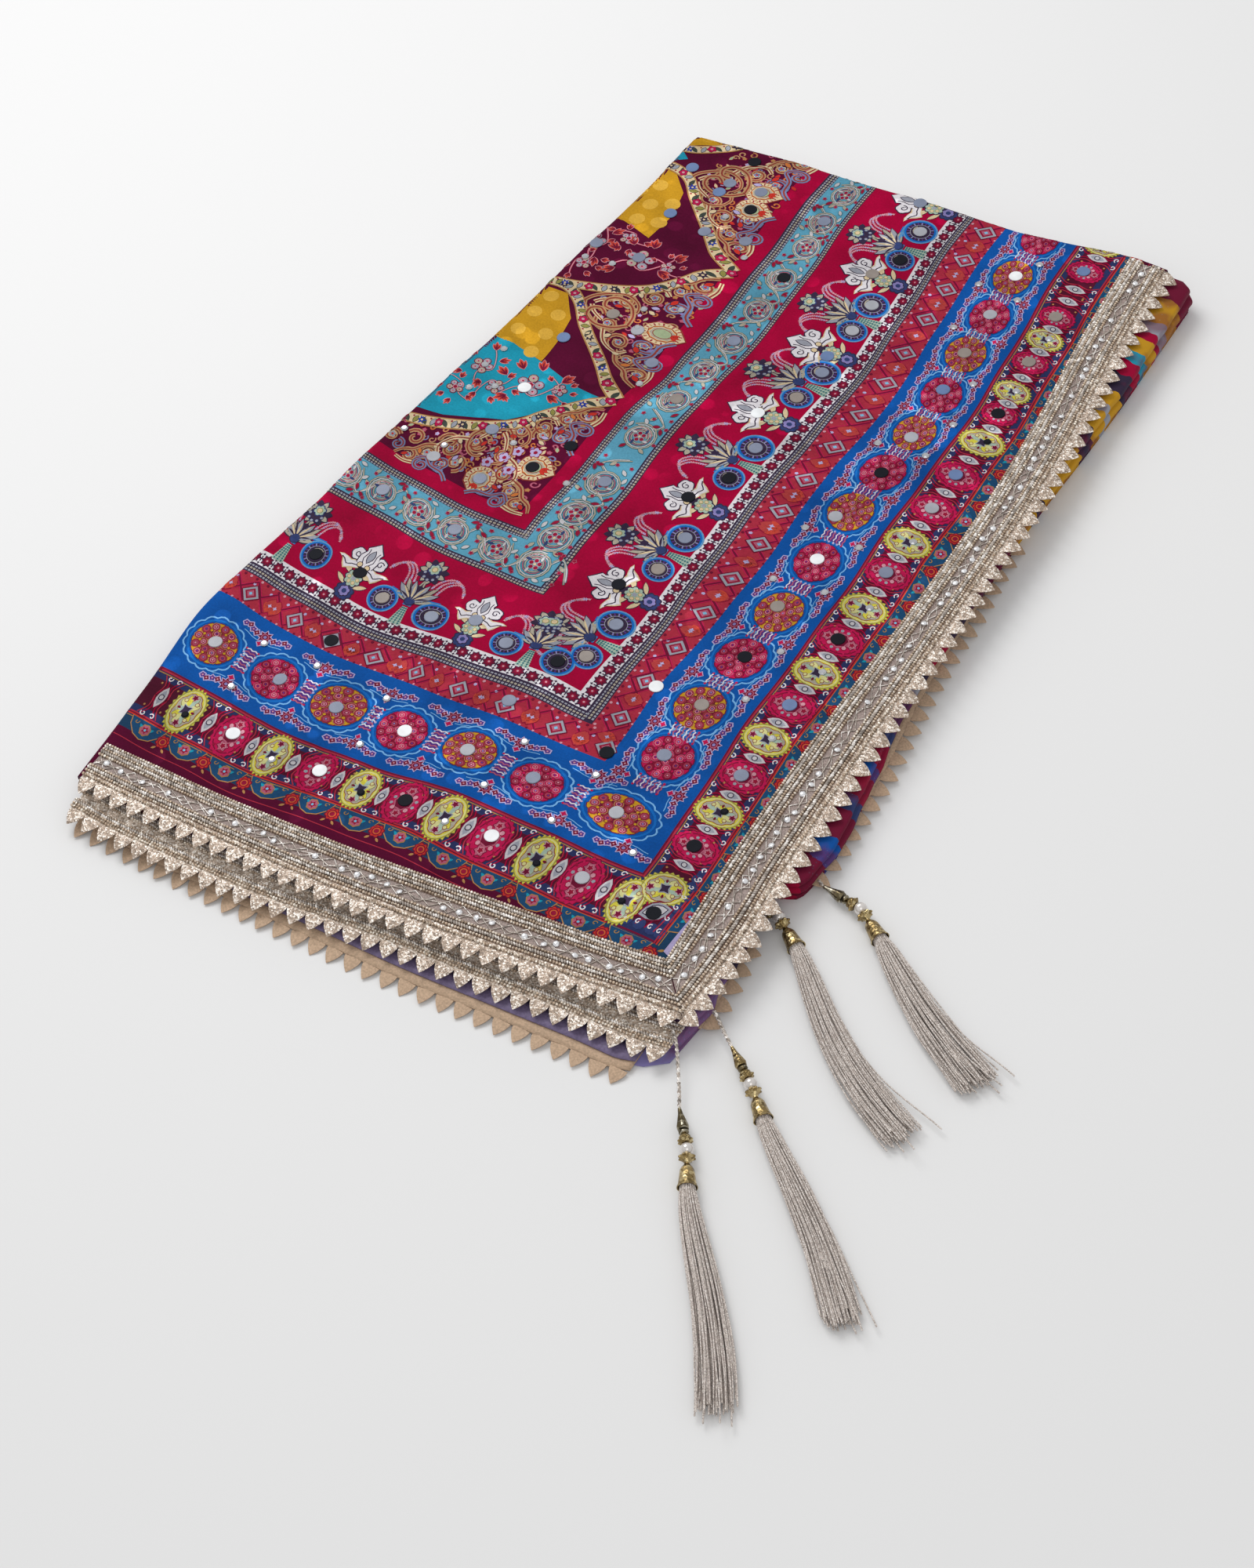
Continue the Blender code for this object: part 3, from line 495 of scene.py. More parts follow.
def sampled(function, xs, ys, step):
    # The function worked out once on a grid, then read between its points.
    columns, rows = math.ceil((xs[1] - xs[0]) / step), math.ceil((ys[1] - ys[0]) / step)
    grid = [[function(xs[0] + i * step, ys[0] + j * step) for i in range(columns + 2)]
            for j in range(rows + 2)] 
    def read(x, y):
        u = min(max((x - xs[0]) / step, 0.0), columns)
        v = min(max((y - ys[0]) / step, 0.0), rows)
        i, j = int(u), int(v)
        u, v = u - i, v - j
        low, high = grid[j], grid[j + 1]
        return (low[i] * (1 - u) + low[i + 1] * u) * (1 - v) + (high[i] * (1 - u) + high[i + 1] * u) * v

    return read


shiftX = sampled(lambda px, py: warp(px, py)[0] - px, (-5.6, 1.4), (-1.6, 9.6), 0.08)
shiftY = sampled(lambda px, py: warp(px, py)[1] - py, (-5.6, 1.4), (-1.6, 9.6), 0.08)
clothHeight = sampled(clothTop, (-208, 190), (-320, 330), 2.0)


def toPack(px, py):
    x, y = px + shiftX(px, py), py + shiftY(px, py)
    return (x + cloth["originX"]) * cloth["unit"], (y - cloth["originY"]) * cloth["unit"]


def toPrint(x, y):
    fx = x / cloth["unit"] - cloth["originX"]
    fy = y / cloth["unit"] + cloth["originY"]
    px, py = fx, fy
    for _ in range(4):
        px, py = fx - shiftX(px, py), fy - shiftY(px, py)
    return px, py


def panelLeft(y):
    return readTable(leftEdge, y) + pack["foldRadius"]


def panelRight(y):
    return readTable(longTips, y) - pack["toothDepth"] - 1.2


def panelFront(x):
    return readTable(shortTips, x) + pack["toothDepth"] + 1.2


def panelBack(x):
    return readTable(backEdge, x) - pack["foldRadius"]


def rolled(x, y, z, nx, ny, arc, lift=0.0):
    # A point past a fold edge, carried round the fold by its length of cloth.
    radius = pack["foldRadius"]
    turn = min(arc / radius, math.pi)
    out = (radius + lift) * math.sin(turn)
    return x + nx * out, y + ny * out, z - radius + (radius + lift) * math.cos(turn)


def buildTopCloth(ground, reverse):
    columns, rows = cloth["columns"], cloth["rows"]
    points, flat = [], []
    for j in range(rows + 1):
        for i in range(columns + 1):
            x, y = planPoint(i / columns, j / rows, panelLeft, panelRight, panelFront, panelBack)
            points.append((x, y, clothHeight(x, y)))
            flat.append(toPrint(x, y))
    faces = gridFaces(columns, rows)
    wide = columns + 1
    edge = [j * wide for j in range(rows + 1)]
    edge += [rows * wide + i for i in range(1, columns + 1)]
    outward = [(-1.0, 0.0)] * rows + [(-0.76, 0.76)] + [(0.0, 1.0)] * columns
    before = edge
    for k in range(1, cloth["rollSteps"] + 1):
        arc = math.pi * pack["foldRadius"] * k / cloth["rollSteps"]
        ring = []
        for index, (nx, ny) in zip(edge, outward):
            ring.append(len(points))
            points.append(rolled(*points[index], nx, ny, arc))
            px, py = flat[index]
            flat.append((px + nx * arc / cloth["unit"], py + ny * arc / cloth["unit"]))
        for a in range(len(edge) - 1):
            faces.append((before[a], before[a + 1], ring[a + 1], ring[a]))
        before = ring
    obj = meshFrom("top_cloth", points, faces, ground, reverse)
    layer = obj.data.uv_layers.new(name="print")
    for loop in obj.data.loops:
        layer.data[loop.index].uv = flat[loop.vertex_index]
    thicken(obj, pack["clothWall"], 1)
    return obj


def groundFinish():
    look = Finish("printed_satin")
    where = look.printPlace()
    parts = look.add("SeparateXYZ", {0: where})
    across = look.math("MULTIPLY", parts.outputs[0], -1.0)
    depth = look.math("MINIMUM", across, parts.outputs[1])
    share = look.step(depth, -1.0, 4.0)
    bands = (
        (-1.0, dye["maroon"]),
        (-0.66, (0.012, 0.045, 0.1)),
        (-0.505, dye["wine"]),
        (-0.475, (0.022, 0.03, 0.1)),
        (-0.4, (0.075, 0.006, 0.022)),
        (-0.11, (0.022, 0.03, 0.1)),
        (-0.035, dye["wine"]),
        (0.0, dye["royalBlue"]),
        (1.0, dye["salmon"]),
        (1.32, dye["ink"]),
        (1.43, dye["white"]),
        (1.59, dye["crimson"]),
        (2.455, dye["ink"]),
        (2.53, dye["vineBlue"]),
        (2.95, dye["ink"]),
        (3.06, dye["crimson"]),
        (3.23, dye["maroon"]),
    )
    colour = look.ramp(share, [((at + 1.0) / 5.0, tint) for at, tint in bands], True)
    return finishSatin(look, colour, where)


satinGround = groundFinish()
satinReverse = plainFinish("satin_reverse", (0.2, 0.155, 0.235), 0.6, 0.0, 500.0, 0.12)
topCloth = buildTopCloth(satinGround, satinReverse)
print("top cloth laid")

# Print motifs: flat shapes laid on the cloth in painter's order, placed one by one in print units.
printing = {
    "step": 0.05,
    "firstLift": 0.1,
    "levelLift": 0.04,
    "wrap": 10.4,
}
motifs = {"points": [], "flat": [], "tints": [], "faces": []}
mirrorSpots = []


def onCloth(px, py, lift):
    x, y = toPack(px, py)
    if x > panelRight(y) or y < panelFront(x):
        return None
    left, back = panelLeft(y), panelBack(x)
    if left - x > printing["wrap"] or y - back > printing["wrap"] or (x < left and y > back):
        return None
    if x < left:
        return rolled(left, y, clothHeight(left, y), -1.0, 0.0, left - x, lift)
    if y > back:
        return rolled(x, back, clothHeight(x, back), 0.0, 1.0, y - back, lift)
    return x, y, clothHeight(x, y) + lift


def lay(flat, faces, tint, level):
    lift = printing["firstLift"] + level * printing["levelLift"]
    number = {}
    for k, spot in enumerate(flat):
        point = onCloth(*spot, lift)
        if point is not None:
            number[k] = len(motifs["points"])
            motifs["points"].append(point)
            motifs["flat"].append(spot)
            motifs["tints"].append((*dye[tint], 1.0))
    for face in faces:
        if all(k in number for k in face):
            (ax, ay), (bx, by), (cx, cy) = (flat[k] for k in face[:3])
            turned = (bx - ax) * (cy - by) - (by - ay) * (cx - bx) < 0
            made = [number[k] for k in face]
            motifs["faces"].append(made[::-1] if turned else made)


def along(side, start, depth):
    # Local frame of a border motif: a along the band, b across it toward the field.
    if side == "short":
        return lambda a, b: (start + a, depth + b)
    return lambda a, b: (-(depth + b), start + a)


def moved(at, a0, b0, turn=0.0, size=1.0, flip=1.0):
    c, s = size * math.cos(turn), size * math.sin(turn)
    return lambda a, b: at(a0 + c * a * flip - s * b, b0 + s * a * flip + c * b)


def around(count, away, start=0.0, wide=1.0, tall=1.0):
    # Number, turn and place of each point on a ring.
    for k in range(count):
        turn = start + 2 * math.pi * k / count
        yield k, turn, away * wide * math.cos(turn), away * tall * math.sin(turn)


def fan(middle, border, tint, level):
    count = len(border)
    reach = max(math.dist(middle, spot) for spot in border)
    rings = max(1, math.ceil(reach / printing["step"]))
    flat = [middle]
    for k in range(1, rings + 1):
        flat += [(middle[0] + (x - middle[0]) * k / rings, middle[1] + (y - middle[1]) * k / rings)
                 for x, y in border]
    faces = [(0, 1 + i, 1 + (i + 1) % count) for i in range(count)]
    for k in range(rings - 1):
        for i in range(count):
            a, b = 1 + k * count + i, 1 + k * count + (i + 1) % count
            faces.append((a, a + count, b + count, b))
    lay(flat, faces, tint, level)


def patch(at, outline, tint, level=0, centre=(0.0, 0.0), edge=None, rim=0.013):
    middle = at(*centre)
    border = [at(*spot) for spot in outline]
    if edge:
        wider = []
        for x, y in border:
            more = 1 + rim / max(math.dist((x, y), middle), 0.01)
            wider.append((middle[0] + (x - middle[0]) * more, middle[1] + (y - middle[1]) * more))
        fan(middle, wider, edge, level)
    fan(middle, border, tint, level + (1 if edge else 0))


def bar(at, a, b, wide, tall, tint, level=0):
    patch(moved(at, a, b), [(-wide, -tall), (wide, -tall), (wide, tall), (-wide, tall)], tint, level)


def ticks(at, count, near, far, half, middle, tints, level):
    # Short strokes that stand round a ring, in two tints by turns.
    for k, turn, _, _ in around(count, 0):
        stroke = [(near, -half), (far, -half - 0.002), (far, half + 0.002), (near, half)]
        patch(moved(at, 0, 0, turn), stroke, tints[k % 2], level, (middle, 0))


def roundShape(radius, points=10, lobes=0, depth=0.25, wide=1.0, tall=1.0):
    shape = []
    for k in range(points):
        turn = 2 * math.pi * k / points
        reach = radius
        if lobes:
            reach *= 1 - depth * (1 - abs(math.sin(lobes * turn / 2)))
        shape.append((reach * wide * math.cos(turn), reach * tall * math.sin(turn)))
    return shape


def blob(at, a, b, radius, tint, level=0, edge=None, rim=0.013, turn=0.0, **shape):
    patch(moved(at, a, b, turn), roundShape(radius, **shape), tint, level, edge=edge, rim=rim)


def starBlob(at, a, b, radius, inner, tips, tint, level=0, edge=None, rim=0.012, turn=0.0):
    shape = []
    for k in range(2 * tips):
        reach, point = (radius, inner)[k % 2], math.pi * k / tips
        shape.append((reach * math.cos(point), reach * math.sin(point)))
    patch(moved(at, a, b, turn), shape, tint, level, edge=edge, rim=rim)


def leaf(at, a, b, turn, length, half, tint, level=0, edge=None, rim=0.012, bend=0.0):
    outline = []
    for side, order in ((1, range(6)), (-1, range(4, 0, -1))):
        for k in order:
            swell = max(0.0, math.sin(math.pi * k / 5)) ** 0.8
            outline.append((side * half * swell + bend * (k / 5) ** 2, length * k / 5))
    patch(moved(at, a, b, turn), outline, tint, level, (bend * 0.25, length / 2), edge, rim)


def eased(path, closed, smooth):
    count = len(path)
    made = []
    for i in range(count if closed else count - 1):
        keep = [(i + k) % count if closed else max(0, min(count - 1, i + k)) for k in (-1, 0, 1, 2)]
        before, first, second, after = (path[k] for k in keep)
        steps = max(1, math.ceil(math.dist(first, second) / (printing["step"] * 0.9)))
        for t in (s / steps for s in range(steps)):
            if smooth:
                made.append(tuple(
                    0.5 * (2 * q + (r - p) * t + (2 * p - 5 * q + 4 * r - w) * t * t
                           + (3 * q - p - 3 * r + w) * t ** 3)
                    for p, q, r, w in zip(before, first, second, after)))
            else:
                made.append(tuple(q + (r - q) * t for q, r in zip(first, second)))
    return made if closed else made + [tuple(path[-1])]


def strip(line, width, tint, level, closed, taper=0.0):
    count = len(line)
    flat = []
    for k, (x, y) in enumerate(line):
        x0, y0 = line[(k - 1) % count] if closed or k else line[0]
        x1, y1 = line[(k + 1) % count] if closed or k < count - 1 else line[-1]
        long = math.hypot(x1 - x0, y1 - y0) or 1.0
        half = width / 2 * (1 - taper * k / count)
        nx, ny = -(y1 - y0) / long * half, (x1 - x0) / long * half
        flat += [(x + nx, y + ny), (x - nx, y - ny)]
    faces = []
    for k in range(count if closed else count - 1):
        a, b = 2 * k, 2 * ((k + 1) % count)
        faces.append((a, a + 1, b + 1, b))
    lay(flat, faces, tint, level)


def ribbon(at, path, width, tint, level=0, smooth=True, closed=False, edge=None, rim=0.012, taper=0.0):
    line = [at(*spot) for spot in eased(path, closed, smooth)]
    if edge:
        strip(line, width + 2 * rim, edge, level, closed, taper)
    strip(line, width, tint, level + (1 if edge else 0), closed, taper)


def ring(at, a, b, radius, width, tint, level=0, edge=None, rim=0.01, **shape):
    ribbon(moved(at, a, b), roundShape(radius, **shape), width, tint, level, False, True, edge, rim)


def curl(at, a, b, radius, turns, start, width, tint, level=0, end=0.2, flip=1.0, **extra):
    count = max(7, round(13 * turns))
    path = []
    for k in range(count + 1):
        angle = start + flip * 2 * math.pi * turns * k / count
        reach = radius * (1 - (1 - end) * k / count)
        path.append((a + reach * math.cos(angle), b + reach * math.sin(angle)))
    ribbon(at, path, width, tint, level, False, **extra)


def mirrorAt(at, a, b, tone="grey", kind="disc"):
    mirrorSpots.append((*at(a, b), tone, kind))


plain = along("short", 0, 0)
bothHands = (-1, 1)
fivePetals = {"points": 15, "lobes": 5, "depth": 0.3}


def rosette(at, golden, wide=1.0, tall=1.0):
    # Rings of round petals; the golden kind shows mustard between them.
    ground = "mustard" if golden else "pinkRed"
    edges = ("gold", "rust") if golden else ("dustyRose", "wine")
    petals = ("petal", "petal") if golden else ("rose", "berry")
    shape = {"wide": wide, "tall": tall}
    ring(at, 0, 0, 0.326, 0.017, "skyBlue", 0, points=60, lobes=15, depth=0.07, **shape)
    ring(at, 0, 0, 0.276, 0.024, "brightBlue", 0, points=32, **shape)
    blob(at, 0, 0, 0.244, ground, 0, "wine", 0.009, points=36, lobes=12, depth=0.09, **shape)
    blob(at, 0, 0, 0.176, "wine" if golden else "berry", 2, points=24, **shape)
    for count, away, size, start in ((12, 0.196, 0.043, 0), (8, 0.116, 0.041, math.pi / 8),
                                     (4, 0.044, 0.032, 0)):
        for k, _, a, b in around(count, away, start, **shape):
            blob(at, a, b, size, petals[k % 2], 3, edges[k % 2], 0.008, points=8)
            ring(at, a, b, size * 0.6, 0.007, ("blush", "dustyRose")[k % 2], 5, points=6)
            blob(at, a, b, size * 0.26, ("lavender", "blush", "violet")[k % 3], 6, points=5)
    for _, _, a, b in around(12, 0.158, math.pi / 12, **shape):
        blob(at, a, b, 0.016, ground, 5, "wine", 0.006, points=5)


def ladder(at):
    bar(at, 0, 0, 0.052, 0.145, "violet")
    for k in range(8):
        b = -0.136 + 0.039 * k
        path = [(-0.06 + 0.03 * s, b + 0.014 * (s % 2) - 0.007) for s in range(5)]
        ribbon(at, path, 0.014, "white" if k % 2 else "dustyRose", 1, False)
    for a in (-0.066, 0.066):
        for b in (-0.135, -0.08, -0.03, 0.03, 0.08, 0.135):
            blob(at, a, b, 0.014, "pinkRed" if abs(b) > 0.1 else "paleViolet", 1, points=6)


def sprig(at, side):
    heart = side * 0.335
    starBlob(at, 0, heart, 0.074, 0.044, 8, "wine", 1, "paleViolet", 0.013, 0.26)
    ring(at, 0, heart, 0.036, 0.01, "dustyRose", 3, points=7)
    blob(at, 0, heart, 0.018, "lavender", 3, points=6)
    starBlob(at, 0, side * 0.245, 0.034, 0.02, 4, "pinkRed", 1, "paleViolet", 0.01)
    for hand in bothHands:
        for k, (a, b) in enumerate(((0.098, 0.335), (0.15, 0.35), (0.2, 0.378), (0.25, 0.368))):
            starBlob(at, hand * a, side * b, 0.036 - 0.002 * k, 0.022, 4 + k % 2,
                     "violet" if k % 2 else "wine", 1, "paleViolet", 0.012, 0.7 * k)
            blob(at, hand * a, side * b, 0.011, "blush", 3, points=4)
        for lift, tint in ((0.0, "brightBlue"), (0.026, "skyBlue")):
            line = ((0.05, 0.295), (0.11, 0.3), (0.17, 0.318), (0.22, 0.325))
            ribbon(at, [(hand * a, side * (b - lift)) for a, b in line], 0.009, tint)


def yellowMedallion(at, wide=1.1, tall=1.06):
    shape = {"wide": 0.7 * wide, "tall": tall}
    blob(at, 0, 0, 0.23, "lemon", 0, "olive", 0.007, points=52, lobes=26, depth=0.12, **shape)
    ring(at, 0, 0, 0.206, 0.008, "olive", 2, points=26, **shape)
    ring(at, 0, 0, 0.186, 0.012, "paleYellow", 2, points=26, **shape)
    blob(at, 0, 0, 0.168, "khaki", 2, "rust", 0.007, points=24, lobes=8, depth=0.1, **shape)
    for k, turn, a, b in around(10, 0.01, 0, 2, 3):
        leaf(at, a, b, turn - math.pi / 2, 0.075 + 0.05 * abs(math.sin(turn)), 0.024,
             ("lemon", "paleYellow", "paleSage")[k % 3], 4, "olive", 0.006)
    for side in bothHands:
        starBlob(at, 0, side * 0.128 * tall, 0.034, 0.018, 5, "wine", 6, "blush", 0.006)
        for hand in bothHands:
            blob(at, hand * 0.062, side * 0.085, 0.017, "paleYellow", 6, "rust", 0.006, points=6)
        leaf(at, side * 0.058, 0, -side * math.pi / 2, 0.04, 0.012, "wine", 6)
    starBlob(at, 0, 0, 0.058, 0.03, 4, "ink", 7, "steel", 0.011, math.pi / 4)


def redMedallion(at, wide=1.12, tall=1.04):
    shape = {"wide": 0.72 * wide, "tall": tall}
    blob(at, 0, 0, 0.222, "pinkRed", 0, "wine", 0.01, points=40, lobes=20, depth=0.08, **shape)
    ring(at, 0, 0, 0.182, 0.01, "wine", 2, points=24, **shape)
    for side in bothHands:
        starBlob(at, 0, side * 0.118 * tall, 0.056, 0.038, 6, "dustyRose", 2, "wine", 0.008, 0.2)
        starBlob(at, 0, side * 0.118 * tall, 0.032, 0.018, 5, "berry", 4, "blush", 0.006)
        for hand in bothHands:
            blob(at, hand * 0.058 * wide, side * 0.072 * tall, 0.022, "blush", 3, "berry", 0.007, points=6)
            blob(at, hand * 0.092 * wide, side * 0.03 * tall, 0.018, "steel", 3, points=5)
    blob(at, 0, 0, 0.078, "wine", 3, "dustyRose", 0.014, points=14, lobes=7, depth=0.12)
    for k, turn, a, b in around(16, 1.0, math.pi / 16, 0.11 * wide, 0.152 * tall):
        leaf(at, a, b, turn - math.pi / 2, 0.04, 0.01, "rose" if k % 2 else "berry", 3)


def lensMotif(at):
    leaf(at, 0, -0.112, 0, 0.224, 0.048, "pearlGrey", 2, "wine")
    leaf(at, 0, -0.075, 0, 0.15, 0.032, "steel", 4)
    blob(at, 0, 0, 0.022, "pearlGrey", 5, "ink", 0.009, points=8)
    for hand in bothHands:
        for shift, tint in ((0.0, "salmon"), (0.034, "crimson")):
            line = ((0.115 - shift, -0.205), (0.055 - shift, -0.11), (0.075, 0), (0.055 - shift, 0.11),
                    (0.115 - shift, 0.205))
            ribbon(at, [(hand * a, b) for a, b in line], 0.011, tint)
        for side in bothHands:
            curl(at, hand * 0.052, side * 0.19, 0.03, 0.9, 1.6 - side * 1.2, 0.011, "white", 1,
                 flip=hand * side)
            blob(at, hand * 0.1, side * 0.12, 0.012, "gold", 1, points=5)


def guardLobe(at):
    path = [(-0.2, -0.52), (-0.17, -0.6), (-0.09, -0.675), (0, -0.7), (0.09, -0.675), (0.17, -0.6),
            (0.2, -0.52)]
    patch(at, path, "teal", 0, (0, -0.58), "gold", 0.011)
    blob(at, 0, -0.6, 0.056, "dustyRose", 2, "ochre", 0.01, points=14, lobes=7, depth=0.15)
    starBlob(at, 0, -0.6, 0.042, 0.022, 5, "berry", 4)
    blob(at, 0, -0.6, 0.014, "paleBlue", 5, points=6)
    for hand in bothHands:
        leaf(at, hand * 0.085, -0.56, hand * 2.2, 0.07, 0.014, "turquoise", 2)
        curl(at, hand * 0.13, -0.555, 0.026, 0.8, 0.4, 0.008, "ochre", 2, flip=hand)


def guardFlower(at):
    blob(at, 0, -0.62, 0.066, "scarlet", 1, "wine", 0.012, points=24, lobes=8, depth=0.22)
    ring(at, 0, -0.62, 0.044, 0.008, "wine", 3, points=9)
    blob(at, 0, -0.62, 0.026, "berry", 3, "orange", 0.007, points=8)
    for hand in bothHands:
        leaf(at, hand * 0.05, -0.57, hand * -1.0, 0.07, 0.013, "ochre")
        leaf(at, hand * 0.03, -0.685, hand * -2.3, 0.055, 0.012, "gold")


def crossBand(side, first, last, diamonds):
    # Two wine zigzags cross along the salmon band, with pale diamonds where they part.
    pitch, dotPitch = 0.25, 0.07
    for start in (0, 1):
        path = [(first + pitch * k, 1.035 if (k + start) % 2 else 1.285)
                for k in range(round((last - first) / pitch) + 1)]
        ribbon(along(side, 0, 0), path, 0.018, "wine", 0, False, edge="rose", rim=0.008)
    for k in range(round((last - first) / dotPitch)):
        here = along(side, first + dotPitch * k, 0)
        blob(here, 0, 1.302, 0.016, "wine" if k % 2 else "blush", 2, points=5)
        blob(here, 0, 1.018, 0.013, "wine" if k % 2 else "blush", 2, points=5)
        if k % 3 == 0:
            blob(here, 0.02, 1.245, 0.017, "paleViolet", 1, points=5)
    for place in diamonds:
        here = along(side, place, 1.14)
        starBlob(here, 0, 0, 0.1, 0.0707, 4, "steel", 2, "wine")
        for radius, inner, tint, level in ((0.07, 0.0495, "berry", 4), (0.046, 0.0325, "dustyRose", 5),
                                           (0.02, 0.0141, "paleBlue", 6)):
            starBlob(here, 0, 0, radius, inner, 4, tint, level)
        for hand in bothHands:
            if side == "short" and place > -1.2 and hand > 0:
                continue
            flame = moved(here, hand * 0.245, 0)
            leaf(flame, 0, -0.09, 0, 0.18, 0.055, "brick", 2, "berry", 0.01)
            for turn in (-0.6, 0.6):
                leaf(flame, 0, -0.07, turn, 0.11, 0.024, "orangeRed", 3)
            starBlob(flame, 0, 0, 0.024, 0.012, 4, "paleViolet", 5)


def dotRows(start, rows):
    # Rows of short pale dashes on the dark lines of both borders, from their corner out.
    pitch, half = 0.036, 0.012
    for side, first, last in (("short", -5.2, -start), ("long", start, 9.0 if start < 2 else 8.9)):
        for depth, tint, tall in rows:
            for k in range(round((last - first) / pitch)):
                bar(along(side, first + pitch * k, depth), 0, 0, half, tall, tint)


def starRow(side, first, last):
    pitch = 0.142
    for k in range(round((last - first) / pitch) + 1):
        here = along(side, first + pitch * k, 1.51)
        starBlob(here, 0, 0, 0.06, 0.04, 8, "wine", 0, "ink", 0.01)
        starBlob(here, 0, 0, 0.034, 0.02, 8, "berry", 2)
        blob(here, 0, 0, 0.012, "blush", 3, points=5)
        for b in (-0.052, 0.052):
            starBlob(here, pitch / 2, b, 0.018, 0.008, 4, "ink")
        bar(here, pitch / 2, 0, 0.006, 0.03, "ink")


def palmette(at, mirror):
    blob(at, 0, 0.1, 0.098, "navy", 0, "ink", 0.014, points=30, lobes=10, depth=0.16)
    blob(at, 0, 0.1, 0.058, "lavender", 2, "ink", 0.01, points=18, lobes=6, depth=0.2)
    blob(at, 0, 0.1, 0.026, "navy", 4, points=8)
    for hand in bothHands:
        leaf(at, hand * 0.05, 0.16, hand * -1.05, 0.15, 0.022, "cream", 0, "ink", 0.008)
        leaf(at, hand * 0.05, 0.28, hand * -1.0, 0.17, 0.026, "cream", 0, "ink", 0.008)
    blob(at, 0, 0.25, 0.092, "paleSage", 2, "ink", 0.012, points=27, lobes=9, depth=0.2)
    for _, _, a, b in around(6, 0.05):
        blob(at, a, 0.25 + b, 0.018, "cream", 4, "olive", 0.005, points=6)
    blob(at, 0, 0.25, 0.022, "steel", 5, points=7)
    blob(at, 0, 0.36, 0.066, "ink", 2, points=14, lobes=7, depth=0.2)
    for hand in bothHands:
        wing = [(hand * a, b) for a, b in (
            (0.05, 0.36), (0.12, 0.335), (0.17, 0.3), (0.2, 0.335), (0.235, 0.385), (0.295, 0.412),
            (0.25, 0.425), (0.195, 0.415), (0.155, 0.4), (0.1, 0.425), (0.06, 0.42))]
        patch(at, wing, "white", 3, (hand * 0.15, 0.37), "cream", 0.014)
        vein = ((0.05, 0.385), (0.12, 0.372), (0.17, 0.345), (0.22, 0.385), (0.26, 0.4))
        ribbon(at, [(hand * a, b) for a, b in vein], 0.011, "ink", 5)
        blob(at, hand * 0.135, 0.5, 0.072, "white", 3, "ink", 0.011, points=18, lobes=5, depth=0.16)
        curl(at, hand * 0.135, 0.5, 0.042, 1.1, 0.5, 0.01, "ink", 5, flip=hand)
    half = ((-0.095, 0.42), (-0.105, 0.5), (-0.075, 0.565), (-0.088, 0.6), (-0.05, 0.635))
    crown = [*half, (0, 0.69), *((-a, b) for a, b in reversed(half)), (0, 0.39)]
    patch(at, crown, "white", 4, (0, 0.52), "ink")
    leaf(at, 0, 0.45, 0, 0.15, 0.03, "steel", 6, "ink", 0.01)
    for hand in bothHands:
        vein = ((0.025, 0.42), (0.062, 0.48), (0.05, 0.55), (0.06, 0.6))
        ribbon(at, [(hand * a, b) for a, b in vein], 0.009, "ink", 6)
        blob(at, hand * 0.045, 0.405, 0.026, "cream", 6, "ink", 0.008, points=8)
    mirrorAt(at, *mirror)


def scrollRing(at, a, b, size, tone):
    blob(at, a, b, 0.162 * size, "skyPale", 2, points=26)
    blob(at, a, b, 0.146 * size, "brightBlue", 3, points=24)
    blob(at, a, b, 0.128 * size, "ink", 4, points=22)
    ticks(moved(at, a, b, 0, size), 20, 0.094, 0.124, 0.005, 0.1, ("violet", "lavender"), 5)
    blob(at, a, b, 0.09 * size, "ink", 5, "steel", 0.006, points=16)
    curl(at, a, b, 0.074 * size, 1.1, 0.8, 0.012 * size, "khaki", 7)
    curl(at, a, b, 0.052 * size, 0.8, 2.4, 0.012 * size, "wine", 7)
    mirrorAt(at, a, b, tone)


